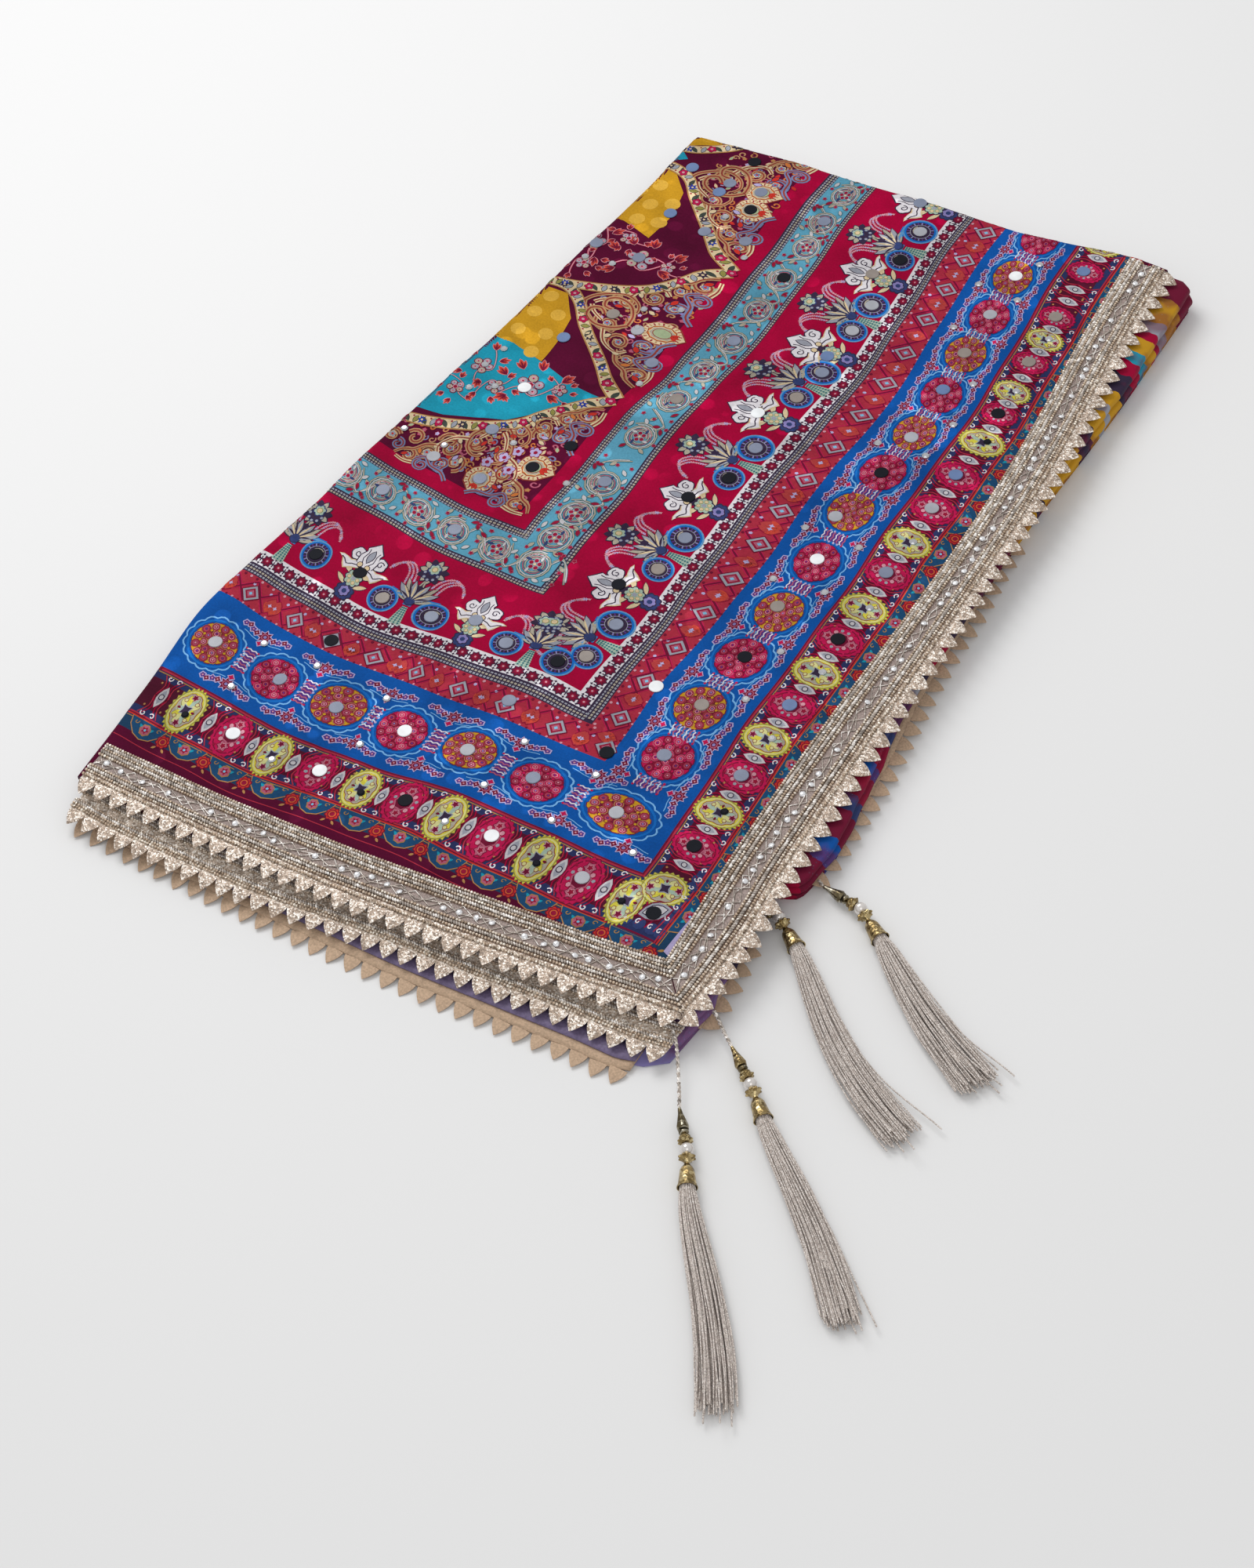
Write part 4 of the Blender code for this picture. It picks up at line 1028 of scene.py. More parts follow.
def scrollPair(at, rings, reach=1.0):
    # A stem parts into two rings, with a leaf fan, a flower and dashed pink swirls above.
    for a, b, size, _ in rings:
        side = 1 if a > 0 else -1
        stem = [(side * 0.02, 0.2), (side * 0.03, 0.28), (a * 0.5, b + 0.135 * size), (a, b + 0.15 * size)]
        ribbon(at, stem, 0.028, "skyPale", 1, edge="brightBlue", rim=0.01)
    for k in range(8):
        b = 0.026 * k - 0.015
        half = 0.064 - 0.005 * k
        bar(at, 0, b, half, 0.015, "paleSage", 1)
        for s in (-1, 0, 1):
            starBlob(at, s * half * 0.62, b, 0.014, 0.007, 4, "deepTeal", 3)
    for a, b, size, tone in rings:
        scrollRing(at, a, b, size, tone)
    blob(at, 0, 0.26, 0.05, "navy", 3, "ink", 0.01, points=10)
    for k, length in enumerate((0.17, 0.24, 0.28, 0.25, 0.3, 0.25, 0.28, 0.24, 0.17)):
        turn = 0.25 * k - 1.0
        leaf(at, 0.03 * turn, 0.25, -turn, length * reach, 0.03, "steel" if k % 2 else "khaki", 1 + k % 2,
             "ink", 0.013, 0.03 * turn)
        leaf(at, 0.03 * turn, 0.28, -turn, length * 0.75 * reach, 0.01, "cream" if k % 2 else "ink", 4,
             bend=0.02 * turn)
    blob(at, 0, 0.42, 0.045, "ink", 3, points=12, lobes=6, depth=0.25)
    top = 0.64 * reach
    for k, turn, a, b in around(11, 0.05, 0.3):
        leaf(at, a, top + b, turn - math.pi / 2, 0.095, 0.026, "khaki" if k % 3 else "ink", 2, "ink")
    blob(at, 0, top - 0.03, 0.092, "ink", 4, points=18, lobes=9, depth=0.18)
    blob(at, 0, top + 0.03, 0.06, "paleSage", 5, "navy", 0.012, points=18, lobes=6, depth=0.25)
    blob(at, 0, top + 0.03, 0.026, "cream", 7, "olive", 0.007, points=7)
    for k in range(5):
        turn = math.pi * (1.0 + k / 4)
        blob(at, 0.07 * math.cos(turn), top - 0.03 + 0.07 * math.sin(turn), 0.015, "steel", 6, "navy",
             0.006,
             points=6)
    for hand in bothHands:
        for k in range(3):
            out = 0.035 * k
            swirl = ((0.1 + out, 0.47 - out), (0.14 + out, 0.58 - 0.4 * out),
                     (0.23 + out, 0.645 - 0.5 * out),
                     (0.33 + 0.8 * out, 0.6 - 0.9 * out), (0.37 + 0.4 * out, 0.52 - 0.6 * out))
            path = [(hand * a, b * reach) for a, b in swirl]
            ribbon(at, path, 0.022, "dustyRose", 0, taper=0.3)
            line = eased(path, False, True)
            for m, ((a0, b0), (a1, b1)) in enumerate(zip(line, line[1:])):
                for share in (0.2, 0.7):
                    starBlob(at, a0 + (a1 - a0) * share, b0 + (b1 - b0) * share, 0.017, 0.006, 3,
                             "paleRose" if (m + k) % 3 else "paleViolet", 1, turn=0.9 * m)


def vineSpiral(at, flip=1.0, mirror=None):
    # One round of the vine in the pale blue border; b runs across the border.
    for radius, width, tint in ((0.185, 0.014, "khaki"), (0.162, 0.012, "pearlGrey"),
                                (0.128, 0.01, "dustyRose"), (0.104, 0.012, "khaki")):
        curl(at, 0, 0, radius, 1.3, 0.3 * flip + radius * 6, width, tint, 1, 0.7, flip,
             edge="deepTeal", rim=0.005)
    for _, _, a, b in around(5, 0.044, 0.4):
        blob(at, a, b, 0.022, "berry", 3, "steel", 0.008, points=7)
    for k, turn, a, b in around(4, 0.06, 0.9):
        leaf(at, a, b, turn - 0.9, 0.07, 0.014, "navy" if k % 2 else "pearlGrey", 2, "deepTeal", 0.005)
    blob(at, 0, 0, 0.016, "cream", 5, points=6)
    for k, (a, b, turn) in enumerate((
            (0.2, 0.12, 0.4), (0.23, -0.08, 2.4), (-0.18, 0.15, -0.5), (-0.21, -0.12, -2.2),
            (0.15, -0.17, 1.4), (0.29, 0.02, 0.9), (0.1, 0.175, -1.1))):
        leaf(at, a, b * flip, turn, 0.085, 0.02, ("berry", "pearlGrey", "khaki")[k % 3], 2, "deepTeal",
             0.007)
    for shift, tint in ((0.0, "pearlGrey"), (0.03, "khaki")):
        line = ((0.14, 0.06 + shift), (0.21, 0.14 + shift * 0.5), (0.3, 0.06 - shift),
                (0.37, -0.08 - shift))
        ribbon(at, [(a, b * flip) for a, b in line], 0.011, tint, 1, edge="deepTeal", rim=0.005)
    for a, b in ((0.26, 0.0), (0.31, 0.17), (0.28, -0.15), (-0.04, 0.19), (0.03, -0.19), (0.19, 0.19)):
        starBlob(at, a, b * flip, 0.022, 0.012, 5, "berry", 3, "dustyRose", 0.006)
    if mirror:
        mirrorAt(at, *mirror)


def edgeLine(side, first, last, depth, tint, width):
    ribbon(along(side, 0, depth), [(first, 0), ((first + last) / 2, 0), (last, 0)], width, tint, 0, False)


def area(points, tint, level, centre):
    patch(plain, eased(points, True, False), tint, level, centre)


# Places along each border: rosettes with depth, mirror offset and painted reflection tone, ladders and
# small studs.
rosettePlaces = {
    "short": ((-4.85, 0.48, 0.0, 0.02, "bright"), (-4.12, 0.48, 0.05, 0.02, "grey"),
              (-3.43, 0.5, 0.01, -0.03, "grey"), (-2.73, 0.49, 0.03, 0.01, "white"),
              (-2.05, 0.52, -0.02, -0.01, "bright"), (-1.34, 0.47, -0.05, 0.03, "grey")),
    "long": ((1.3, 0.5, 0.01, 0.05, "grey"), (1.91, 0.51, 0.04, 0.0, "tan"),
             (2.57, 0.51, 0.03, -0.02, "dark"),
             (3.2, 0.5, 0.05, 0.06, "tan"), (3.88, 0.51, 0.03, 0.02, "white"),
             (4.57, 0.51, -0.12, 0.12, "bright"), (5.15, 0.49, -0.02, 0.01, "dark"),
             (5.75, 0.49, -0.07, 0.0, "bright"), (6.33, 0.5, 0.07, 0.02, "blue"),
             (6.93, 0.5, 0.01, 0.02, "tan"), (7.5, 0.5, 0.03, 0.01, "bright"),
             (8.1, 0.5, 0.03, -0.03, "white"), (8.72, 0.5, 0.12, 0.02, "tan")),
}
ladderPlaces = {
    "short": (-4.49, -3.77, -3.08, -2.39, -1.7, -0.95),
    "long": (0.97, 1.6, 2.24, 2.89, 3.54, 4.22, 4.86, 5.45, 6.03, 6.63, 7.21, 7.8, 8.41),
}
studPlaces = {
    "short": ((-4.45, 0.77), (-3.85, 0.82), (-3.09, 0.76), (-1.68, 0.86), (-0.97, 0.82), (-4.43, 0.17),
              (-3.0, 0.18), (-1.73, 0.19), (-1.0, 0.13), (-0.2, 0.17)),
    "long": ((2.17, 0.16), (2.79, 0.19), (3.52, 0.82), (3.58, 0.2), (4.2, 0.86), (4.2, 0.16), (5.46, 0.8),
             (5.52, 0.17), (6.02, 0.13), (6.6, 0.2), (7.2, 0.84), (7.85, 0.86), (7.83, 0.27), (8.38, 0.27)),
}


def placeRosettes():
    for side, rows in rosettePlaces.items():
        for k, (place, depth, a, b, tone) in enumerate(rows):
            here = along(side, place, depth)
            rosette(here, k % 2 == (side == "long"), 1.0, 1.08 if side == "long" else 0.96)
            mirrorAt(here, a, b, tone)
    corner = along("short", -0.53, 0.52)
    rosette(corner, True, 1.26, 0.92)
    mirrorAt(corner, -0.02, 0, "bright")
    for side, places in ladderPlaces.items():
        for place in places:
            here = along(side, place, 0.5)
            ladder(here)
            sprig(here, 1)
            sprig(here, -1)
    sprig(along("short", -0.3, 0.52), -1)
    for side, spots in studPlaces.items():
        for place, depth in spots:
            mirrorAt(along(side, place, depth), 0, 0, "silver", "stud")


# Medallions by kind and side: place and mirror tone (a painted reflection, or the silver of a stud). Lenses
# stand between them.
medallionPlaces = {
    "yellow": {
        "short": ((-4.63, "dark"), (-3.63, "silver"), (-2.69, "dark"), (-1.83, "silver"), (-0.88, "dark")),
        "long": ((0.95, "dark"), (1.84, "silver"), (2.7, "silver"), (3.56, "silver"), (4.45, "silver"),
                 (5.93, "dark"), (6.67, "silver"), (7.44, "silver"), (8.88, "silver")),
    },
    "red": {
        "short": ((-4.1, "white"), (-3.18, "white"), (-2.25, "dark"), (-1.36, "white"), (-0.43, "bright")),
        "long": ((0.5, "dark"), (1.39, "grey"), (2.27, "blue"), (3.13, "dark"), (4.03, "grey"),
                 (4.93, "bright"),
                 (5.42, "blue"), (6.35, "dark"), (7.1, "tan"), (7.77, "tan"), (8.47, "blue")),
    },
}
lensPlaces = {
    "short": (-4.93, -4.36, -3.86, -3.41, -2.94, -2.47, -2.04, -1.59, -1.12, -0.65, -0.2),
    "long": (0.27, 0.73, 1.16, 1.61, 2.05, 2.49, 2.91, 3.35, 3.79, 4.24, 4.69, 5.17, 5.66, 6.14, 6.51, 6.88,
             7.27, 7.6, 8.02, 8.2, 8.7),
}
# Lines beside the medallions: how far they start before the border, depth, tint and width.
medallionLines = ((0.02, -0.012, "salmon", 0.018), (0.04, -0.037, "ochre", 0.01),
                  (0.5, -0.467, "salmon", 0.014),
                  (0.5, -0.492, "scarlet", 0.014), (0.5, -0.515, "ochre", 0.008),
                  (0.75, -0.745, "salmon", 0.01))


def placeMedallions():
    middle = -0.25
    for kind, sides in medallionPlaces.items():
        for side, spots in sides.items():
            for place, tone in spots:
                here = along(side, place, middle)
                if side == "long" and place > 6.2:
                    here = moved(here, 0, 0.02, size=0.82)
                if kind == "yellow":
                    yellowMedallion(here)
                    mirrorAt(here, 0.03, -0.04, tone, "stud")
                else:
                    redMedallion(here)
                    mirrorAt(here, 0, 0.02, tone)
    corner = along("short", 0.03, -0.27)
    for a in (-0.02, 0.1, 0.22, 0.34, 0.43):
        for x, y, dx, dy, start in ((a, -0.125, -0.02, 0.01, 1.2), (0.4, 0.04 + a, 0.0, 0.0, 3.0)):
            blob(corner, x, y, 0.056, "navy", points=9)
            curl(corner, x + dx, y + dy, 0.026, 0.9, start, 0.01, "white", 2)
    for k in range(4):
        ribbon(corner, [(0.1 + 0.09 * k, -0.14), (0.18 + 0.07 * k, 0), (0.12 + 0.09 * k, 0.14)], 0.011,
               "salmon" if k % 2 else "crimson", 1)
    leaf(corner, 0.16, -0.06, -0.95, 0.28, 0.08, "steel", 2, "wine", 0.016)
    leaf(corner, 0.19, -0.035, -0.95, 0.2, 0.05, "pearlGrey", 4, "ink", 0.01)
    yellowMedallion(moved(corner, 0, 0, 0.12), 0.98, 1.0)
    yellowMedallion(moved(corner, 0.21, 0.235, -1.25), 1.12, 0.98)
    mirrorAt(corner, -0.03, -0.02, "dark", "stud")
    mirrorAt(corner, 0.27, 0, "dark")
    for side, places in lensPlaces.items():
        for place in places:
            lensMotif(along(side, place, middle))
    area([(0.6, 0.1), (0.63, -0.1), (0.64, -0.55), (0.585, -0.53), (0.592, -0.2)], "paleViolet", 6,
         (0.61, -0.3))
    for side, first, last in (("short", -5.15, 0.0), ("long", 0.0, 9.0)):
        for before, depth, tint, width in medallionLines:
            edgeLine(side, first - before, last, depth, tint, width)
    pitch = 0.463
    for k in range(33):
        side, place = ("short", -4.84 + pitch * k) if k < 12 else ("long", -0.143 + pitch * (k - 12))
        guardLobe(along(side, place, 0.02))
        guardFlower(along(side, place + pitch / 2 + 0.0005, 0.02))


def placeBands():
    crossBand("short", -5.2, -1.2, (-4.93, -4.38, -3.93, -3.47, -3.03, -2.55, -2.08, -1.55, -1.08))
    crossBand("long", 1.2, 8.9, (1.5, 1.97, 2.43, 2.9, 3.37, 3.85, 4.3, 4.75, 5.25, 5.75, 6.25, 6.7, 7.2,
                                 7.65, 8.1, 8.55))
    for side, a, depth, tone in (("short", -3.93, 1.14, "dark"), ("short", -2.08, 1.2, "grey"),
                                 ("short", -1.05, 1.1, "dark"), ("long", 1.95, 1.03, "white")):
        mirrorAt(along(side, a, depth), 0, 0, tone)
    dotRows(1.38, ((1.345, "steel", 0.01), (1.378, "khaki", 0.01), (1.41, "steel", 0.008)))
    starRow("short", -5.18, -1.58)
    starRow("long", 1.51, 8.9)
    dotRows(2.48, ((2.478, "khaki", 0.01), (2.508, "steel", 0.009)))
    dotRows(2.98, ((2.978, "steel", 0.009), (3.008, "khaki", 0.01), (3.038, "steel", 0.008)))


def placePalmettes():
    for side, place, a, b, tone in (
            ("short", -4.18, 0.02, 0.33, "dark"), ("short", -2.85, 0.0, 0.35, "grey"),
            ("long", 2.8, 0.03, 0.42, "dark"), ("long", 4.05, 0.02, 0.42, "dark"),
            ("long", 5.33, -0.01, 0.4, "white"), ("long", 6.38, -0.06, 0.27, "blue"),
            ("long", 7.5, 0.03, 0.38, "tan"), ("long", 8.65, 0.0, 0.4, "grey")):
        palmette(along(side, place, 1.545), (a, b, tone))
    root = 1.6
    scrollPair(along("short", -3.55, root), ((-0.25, 0.17, 0.95, "tan"), (0.26, 0.17, 1.0, "grey")))
    scrollPair(along("short", -2.2, root), ((-0.25, 0.17, 0.95, "grey"), (0.26, 0.16, 1.0, "dark")), 0.86)
    scrollPair(along("short", -4.97, root), ((0.3, 0.22, 1.0, "dark"),), 0.95)
    for place, low, high, first, second in (
            (2.16, -0.21, 0.25, "tan", "grey"), (3.38, -0.21, 0.24, "tan", "grey"),
            (4.68, -0.22, 0.23, "dark", "grey"), (5.88, -0.2, 0.22, "tan", "grey"),
            (6.92, -0.18, 0.22, "bright", "bright"), (8.0, -0.17, 0.28, "dark", "bright")):
        scrollPair(along("long", place, root), ((low, 0.16, 0.9, first), (high, 0.15, 1.05, second)))
    vine = 2.74
    # Painted reflection tones of the mirrors on every other vine round.
    vineTones = {1: "grey", 3: "tan", 5: "grey", 7: "dark", 9: "grey"}
    for k, place in enumerate((3.42, 3.87, 4.55, 5.12, 5.6, 6.1, 6.6, 7.1, 7.6, 8.0, 8.45)):
        vineSpiral(along("long", place, vine), 1.0 if k % 2 else -1.0, (0.02, 0,
                                                                        vineTones[k]) if k % 2 else None)
    for k, place in enumerate((-5.0, -4.55, -4.1, -3.65, -3.2)):
        vineSpiral(along("short", place, vine), 1.0 if k % 2 else -1.0,
                   (0, 0.02, "grey") if k % 2 else None)
    vineSpiral(along("short", -2.74, vine), 1.0)
    vineSpiral(along("long", 3.08, vine), -1.0)


def guardStrip(path):
    ribbon(plain, path, 0.1, "cream", 4, edge="gold", rim=0.014)
    line = eased(path, False, True)
    gap, k = 0.0, 0
    for before, spot in zip(line, line[1:]):
        gap += math.dist(before, spot)
        if gap < 0.085:
            continue
        gap, k = 0.0, k + 1
        turn = math.atan2(spot[1] - before[1], spot[0] - before[0])
        there = moved(plain, *spot, turn)
        if k % 4 == 0:
            starBlob(there, 0, 0, 0.056, 0.026, 6, "deepBlue" if k % 8 else "ink", 6)
            blob(there, 0, 0, 0.014, "cream", 7, points=5)
        elif k % 4 == 2:
            blob(there, 0, 0, 0.046, "pinkRed", 6, "wine", 0.008, **fivePetals)
            blob(there, 0, 0, 0.018, "blush", 8, "berry", 0.006, points=5)
        else:
            leaf(there, -0.03, -0.05, 0.6, 0.11, 0.024, "darkLeaf", 6)
            leaf(there, 0.02, -0.045, -0.3, 0.085, 0.022, "olive" if k % 8 < 4 else "steel", 6,
                 "darkLeaf", 0.007)
            blob(there, 0, 0.03, 0.012, "berry", 6, points=5)


def goldScroll(at, curls, tint="tan"):
    for a, b, radius, turns, start, flip in curls:
        curl(at, a, b, radius, turns, start, 0.015, "rust", 2, 0.25, flip, edge=tint, rim=0.015)


def scrollHeart(at, a, b, radius, heart):
    blob(at, a, b, radius, "steel" if heart > 0.014 else "blueGrey", 3, "cream", 0.008, **fivePetals)
    blob(at, a, b, heart, "scarlet", 5, points=5)


def paisley(at, tone=None):
    # A beaded cream drop with a mustard throat and a mirror at its heart.
    half = ((0.07, -0.16), (0.15, -0.1), (0.185, 0.0), (0.16, 0.1), (0.09, 0.165))
    drop = [(0, -0.22), *half, (0, 0.185), *((-a, b) for a, b in reversed(half))]
    patch(at, drop, "cream", 2, (0, 0), "rust", 0.014)
    ticks(at, 24, 0.138, 0.172, 0.006, 0.155, ("tan", "berry"), 4)
    blob(at, 0, 0, 0.126, "orange", 4, "rust", 0.007, points=22, lobes=11, depth=0.08)
    blob(at, 0, 0, 0.108, "khaki", 6, "cream", 0.008, points=18, lobes=9, depth=0.1)
    blob(at, 0, 0, 0.074, "sage", 8, "rust", 0.007, points=14)
    for turn in (2.5, math.pi, 3.8):
        leaf(at, 0, -0.07, turn, 0.085, 0.02, "scarlet", 8)
    if tone:
        mirrorAt(at, 0, 0.01, tone)


def flowerSpray(at, ground, petals):
    # Loose blossom of round petals with toothed leaves on a curving stem.
    stem = [(-0.25, -0.2), (-0.1, -0.05), (0.05, -0.12), (0.2, 0.02), (0.3, 0.2)]
    ribbon(at, stem, 0.01, petals, 2, edge=ground, rim=0.007)
    for k, _, a, b in around(5, 0.082, 0.3):
        blob(at, a, b, 0.042, "khaki" if k % 2 else "steel", 3, "wine", 0.01, points=9)
        blob(at, a * 1.1, b * 1.1, 0.022, petals, 5, points=6)
        blob(at, a, b, 0.01, "berry", 6, points=5)
    blob(at, 0, 0, 0.034, "berry", 5, "blush", 0.009, points=12, lobes=6, depth=0.25)
    for a, b, turn in ((-0.24, 0.05, 0.9), (-0.16, -0.18, 2.2), (0.19, -0.06, -2.0), (0.26, 0.12, -0.7),
                       (0.05, 0.19, 0.2), (-0.12, 0.16, 0.6)):
        for hand, size in ((-1, 0.8), (1, 0.8), (0, 1.0)):
            leaf(at, a, b, turn + 0.42 * hand, 0.13 * size, 0.022 * size, "orangeRed", 3, petals, 0.007)
            leaf(at, a, b, turn + 0.42 * hand, 0.1 * size, 0.008, "wine", 5)


def arabesque(at, hands=bothHands):
    # Mirror-image gold scrollwork narrowing to a point at b 0.95.
    for hand in hands:
        there = moved(at, 0, 0, flip=hand)
        goldScroll(there, ((0.18, 0.62, 0.13, 1.1, 2.2, -1), (0.36, 0.42, 0.12, 1.2, 0.6, 1),
                           (0.55, 0.26, 0.11, 1.2, 2.6, -1), (0.7, 0.12, 0.1, 1.1, 0.4, 1)))
        goldScroll(there, ((0.3, 0.2, 0.11, 1.15, 4.0, 1), (0.5, 0.08, 0.09, 1.2, 1.0, -1)), "blueGrey")
        for tint, *path in (
                ("tan", (0, 0.95), (0.12, 0.88), (0.26, 0.68), (0.22, 0.52), (0.1, 0.46), (0.02, 0.5)),
                ("cream", (0.26, 0.62), (0.42, 0.55), (0.5, 0.4), (0.44, 0.3)),
                ("tan", (0.48, 0.4), (0.62, 0.34), (0.7, 0.22), (0.8, 0.16), (0.86, 0.06)),
                ("blueGrey", (0.14, 0.02), (0.24, 0.1), (0.4, 0.12), (0.52, 0.2), (0.6, 0.12)),
                ("cream", (0.02, 0.86), (0.1, 0.8), (0.17, 0.68)),
                ("cream", (0.6, 0.05), (0.7, 0.02), (0.82, 0.03))):
            ribbon(there, path, 0.016, "rust", 4, edge=tint, rim=0.016, taper=0.3)
        for a, b, turn, tint in (
                (0.1, 0.6, 0.3, "scarlet"), (0.3, 0.52, -0.9, "cream"), (0.42, 0.22, 1.2, "scarlet"),
                (0.6, 0.2, -0.6, "orange"), (0.24, 0.3, 0.2, "paleViolet"), (0.14, 0.3, -0.4, "cream"),
                (0.78, 0.08, 0.8, "scarlet"), (0.52, 0.34, 0.1, "cream")):
            leaf(there, a, b, turn, 0.085, 0.022, tint, 4, "ink", 0.007)
        for a, b in ((0.18, 0.62), (0.36, 0.42), (0.55, 0.26), (0.3, 0.2), (0.7, 0.12)):
            scrollHeart(there, a, b, 0.034, 0.013)


def filling(corners, count, seed):
    # Small curls, buds and leaves scattered between the larger scrolls, each with room of its own.
    draw = random.Random(seed)
    kept = []
    tries = 20000
    while len(kept) < count and tries:
        tries -= 1
        u, v = sorted((draw.random(), draw.random()))
        a, b = (sum(w * c[axis] for w, c in zip((u, v - u, 1 - v), corners)) for axis in (0, 1))
        if any(math.dist((a, b), other) < 0.062 for other in kept):
            continue
        kept.append((a, b))
        turn, tint = draw.uniform(0, 6.3), draw.choice(("tan", "gold", "orange", "blueGrey", "tan",
                                                        "dustyRose"))
        kind = draw.random()
        if kind < 0.5:
            curl(plain, a, b, draw.uniform(0.03, 0.045), 1.0, turn, 0.013, tint, 1, 0.3,
                 draw.choice(bothHands),
                 edge="wine", rim=0.006)
        elif kind < 0.75:
            leaf(plain, a, b, turn, 0.065, 0.016, draw.choice(("cream", "scarlet", "lavender", "sage")), 1,
                 "berry", 0.007, draw.uniform(-0.02, 0.02))
        else:
            blob(plain, a, b, 0.024, draw.choice(("paleViolet", "dustyRose", "gold")), 1, "berry", 0.006,
                 points=10, lobes=5, depth=0.3)


# The field: seeded fillings, plain areas, and what stands on them, in print units.
fieldFillings = (
    (95, (-3.28, 5.1), (-3.2, 6.75), (-4.05, 6.0)),
    (95, (-3.28, 7.1), (-3.2, 8.8), (-4.02, 8.0)),
    (30, (-4.0, 8.0), (-3.2, 8.8), (-3.9, 8.6)),
    (80, (-3.3, 3.25), (-3.28, 4.7), (-4.05, 3.8)),
    (80, (-3.3, 3.25), (-4.9, 3.6), (-3.9, 3.95)),
)
fieldAreas = (
    ("turquoise", (-4.3, 4.5), (-5.1, 3.77), (-4.6, 3.85), (-4.3, 3.96), (-4.02, 4.09), (-3.8, 4.32),
     (-3.5, 4.7), (-3.35, 4.82), (-3.7, 4.85), (-4.1, 4.94), (-4.5, 5.05), (-5.0, 5.08)),
    ("mustard", (-4.45, 5.45), (-4.95, 5.07), (-4.5, 5.04), (-4.12, 4.95), (-4.09, 5.3), (-4.11, 5.62),
     (-4.32, 5.93), (-4.9, 5.95)),
    ("mustard", (-4.35, 7.5), (-4.9, 7.14), (-4.4, 7.12), (-4.04, 7.0), (-4.02, 7.4), (-4.08, 7.75),
     (-4.3, 8.0), (-4.8, 8.02)),
    ("mustard", (-4.35, 8.65), (-4.8, 8.38), (-4.42, 8.4), (-4.1, 8.55), (-4.05, 8.9), (-4.8, 8.9)),
    ("turquoise", (-4.5, 8.22), (-4.8, 8.1), (-4.42, 8.14), (-4.28, 8.22), (-4.42, 8.34), (-4.8, 8.34)),
)
fieldDots = ((-4.55, 5.25), (-4.28, 5.02), (-4.25, 5.3), (-4.5, 5.55), (-4.25, 5.6), (-4.65, 5.75),
             (-4.45, 5.82), (-4.3, 7.2), (-4.08, 7.25), (-4.3, 7.45), (-4.1, 7.55), (-4.35, 7.75),
             (-4.5, 7.6), (-4.25, 8.62))
fieldSprays = (
    (-4.05, 4.62, 0.2, 1.15), (-4.62, 4.62, 1.1, 0.9), (-4.7, 4.22, 2.0, 0.7), (-4.35, 4.42, 3.6, 0.75),
    (-3.75, 4.72, 5.0, 0.6), (-3.95, 6.68, 0.1, 1.1), (-4.5, 6.72, 1.3, 1.05), (-4.2, 6.9, 2.4, 0.7),
    (-4.42, 6.4, 4.0, 0.7), (-3.68, 6.72, 5.3, 0.55),
)
cornerScrolls = (
    (-4.88, 3.4, 0.09, 1.2, 0.6, 1), (-4.66, 3.5, 0.1, 1.1, 2.9, -1), (-4.44, 3.41, 0.11, 1.2, 1.0, 1),
    (-4.34, 3.62, 0.1, 1.1, 3.4, -1), (-4.12, 3.44, 0.11, 1.2, 5.0, 1), (-4.08, 3.72, 0.09, 1.1, 0.2, -1),
    (-3.46, 4.42, 0.1, 1.1, 1.6, 1), (-3.58, 4.12, 0.11, 1.2, 4.0, -1),
)
cornerPaleScrolls = ((-4.76, 3.34, 0.07, 1.1, 2.0, -1), (-4.26, 3.34, 0.08, 1.1, 5.2, 1),
                     (-3.4, 4.24, 0.08, 1.1, 2.2, 1))
fieldStrips = (
    ((-5.12, 3.59), (-4.7, 3.71), (-4.35, 3.83), (-4.1, 3.95), (-3.87, 4.13), (-3.72, 4.34), (-3.55, 4.55),
     (-3.42, 4.69), (-3.26, 4.84)),
    ((-3.26, 4.87), (-3.45, 5.05), (-3.71, 5.33), (-3.95, 5.6), (-4.15, 5.87), (-4.42, 6.03), (-4.8, 6.0)),
    ((-4.8, 6.03), (-4.35, 6.07), (-4.0, 6.18), (-3.7, 6.36), (-3.48, 6.6), (-3.34, 6.8), (-3.19, 6.92)),
    ((-3.19, 6.95), (-3.42, 7.14), (-3.68, 7.44), (-3.93, 7.72), (-4.15, 7.98), (-4.5, 8.08),
     (-4.75, 8.08)),
    ((-4.75, 8.36), (-4.42, 8.36), (-4.2, 8.42), (-3.95, 8.62), (-3.8, 8.9)),
)
# Field mirrors, grouped by their painted reflection tone.
fieldMirrors = {
    "white": ((-4.08, 4.56),),
    "grey": ((-4.06, 3.92), (-3.65, 7.35), (-3.75, 8.1), (-3.97, 6.7), (-4.45, 6.7), (-3.26, 5.45),
             (-3.28, 7.4)),
    "bright": ((-4.35, 3.4), (-3.5, 5.8)),
    "blue": ((-4.06, 5.34), (-4.05, 7.42), (-3.78, 7.93), (-4.17, 8.12)),
    "tan": ((-3.8, 5.89),),
    "dark": ((-3.3, 4.12), (-3.7, 8.5)),
}
fieldStuds = ((-4.55, 4.93), (-4.6, 4.64), (-4.57, 4.28), (-4.35, 4.42), (-3.78, 3.9), (-4.35, 3.56),
              (-3.22, 5.14), (-3.6, 6.1), (-3.33, 6.25), (-4.15, 6.5), (-4.45, 6.48), (-3.58, 7.64),
              (-3.2, 7.18), (-3.52, 5.83), (-3.05, 3.7), (-4.82, 3.52))


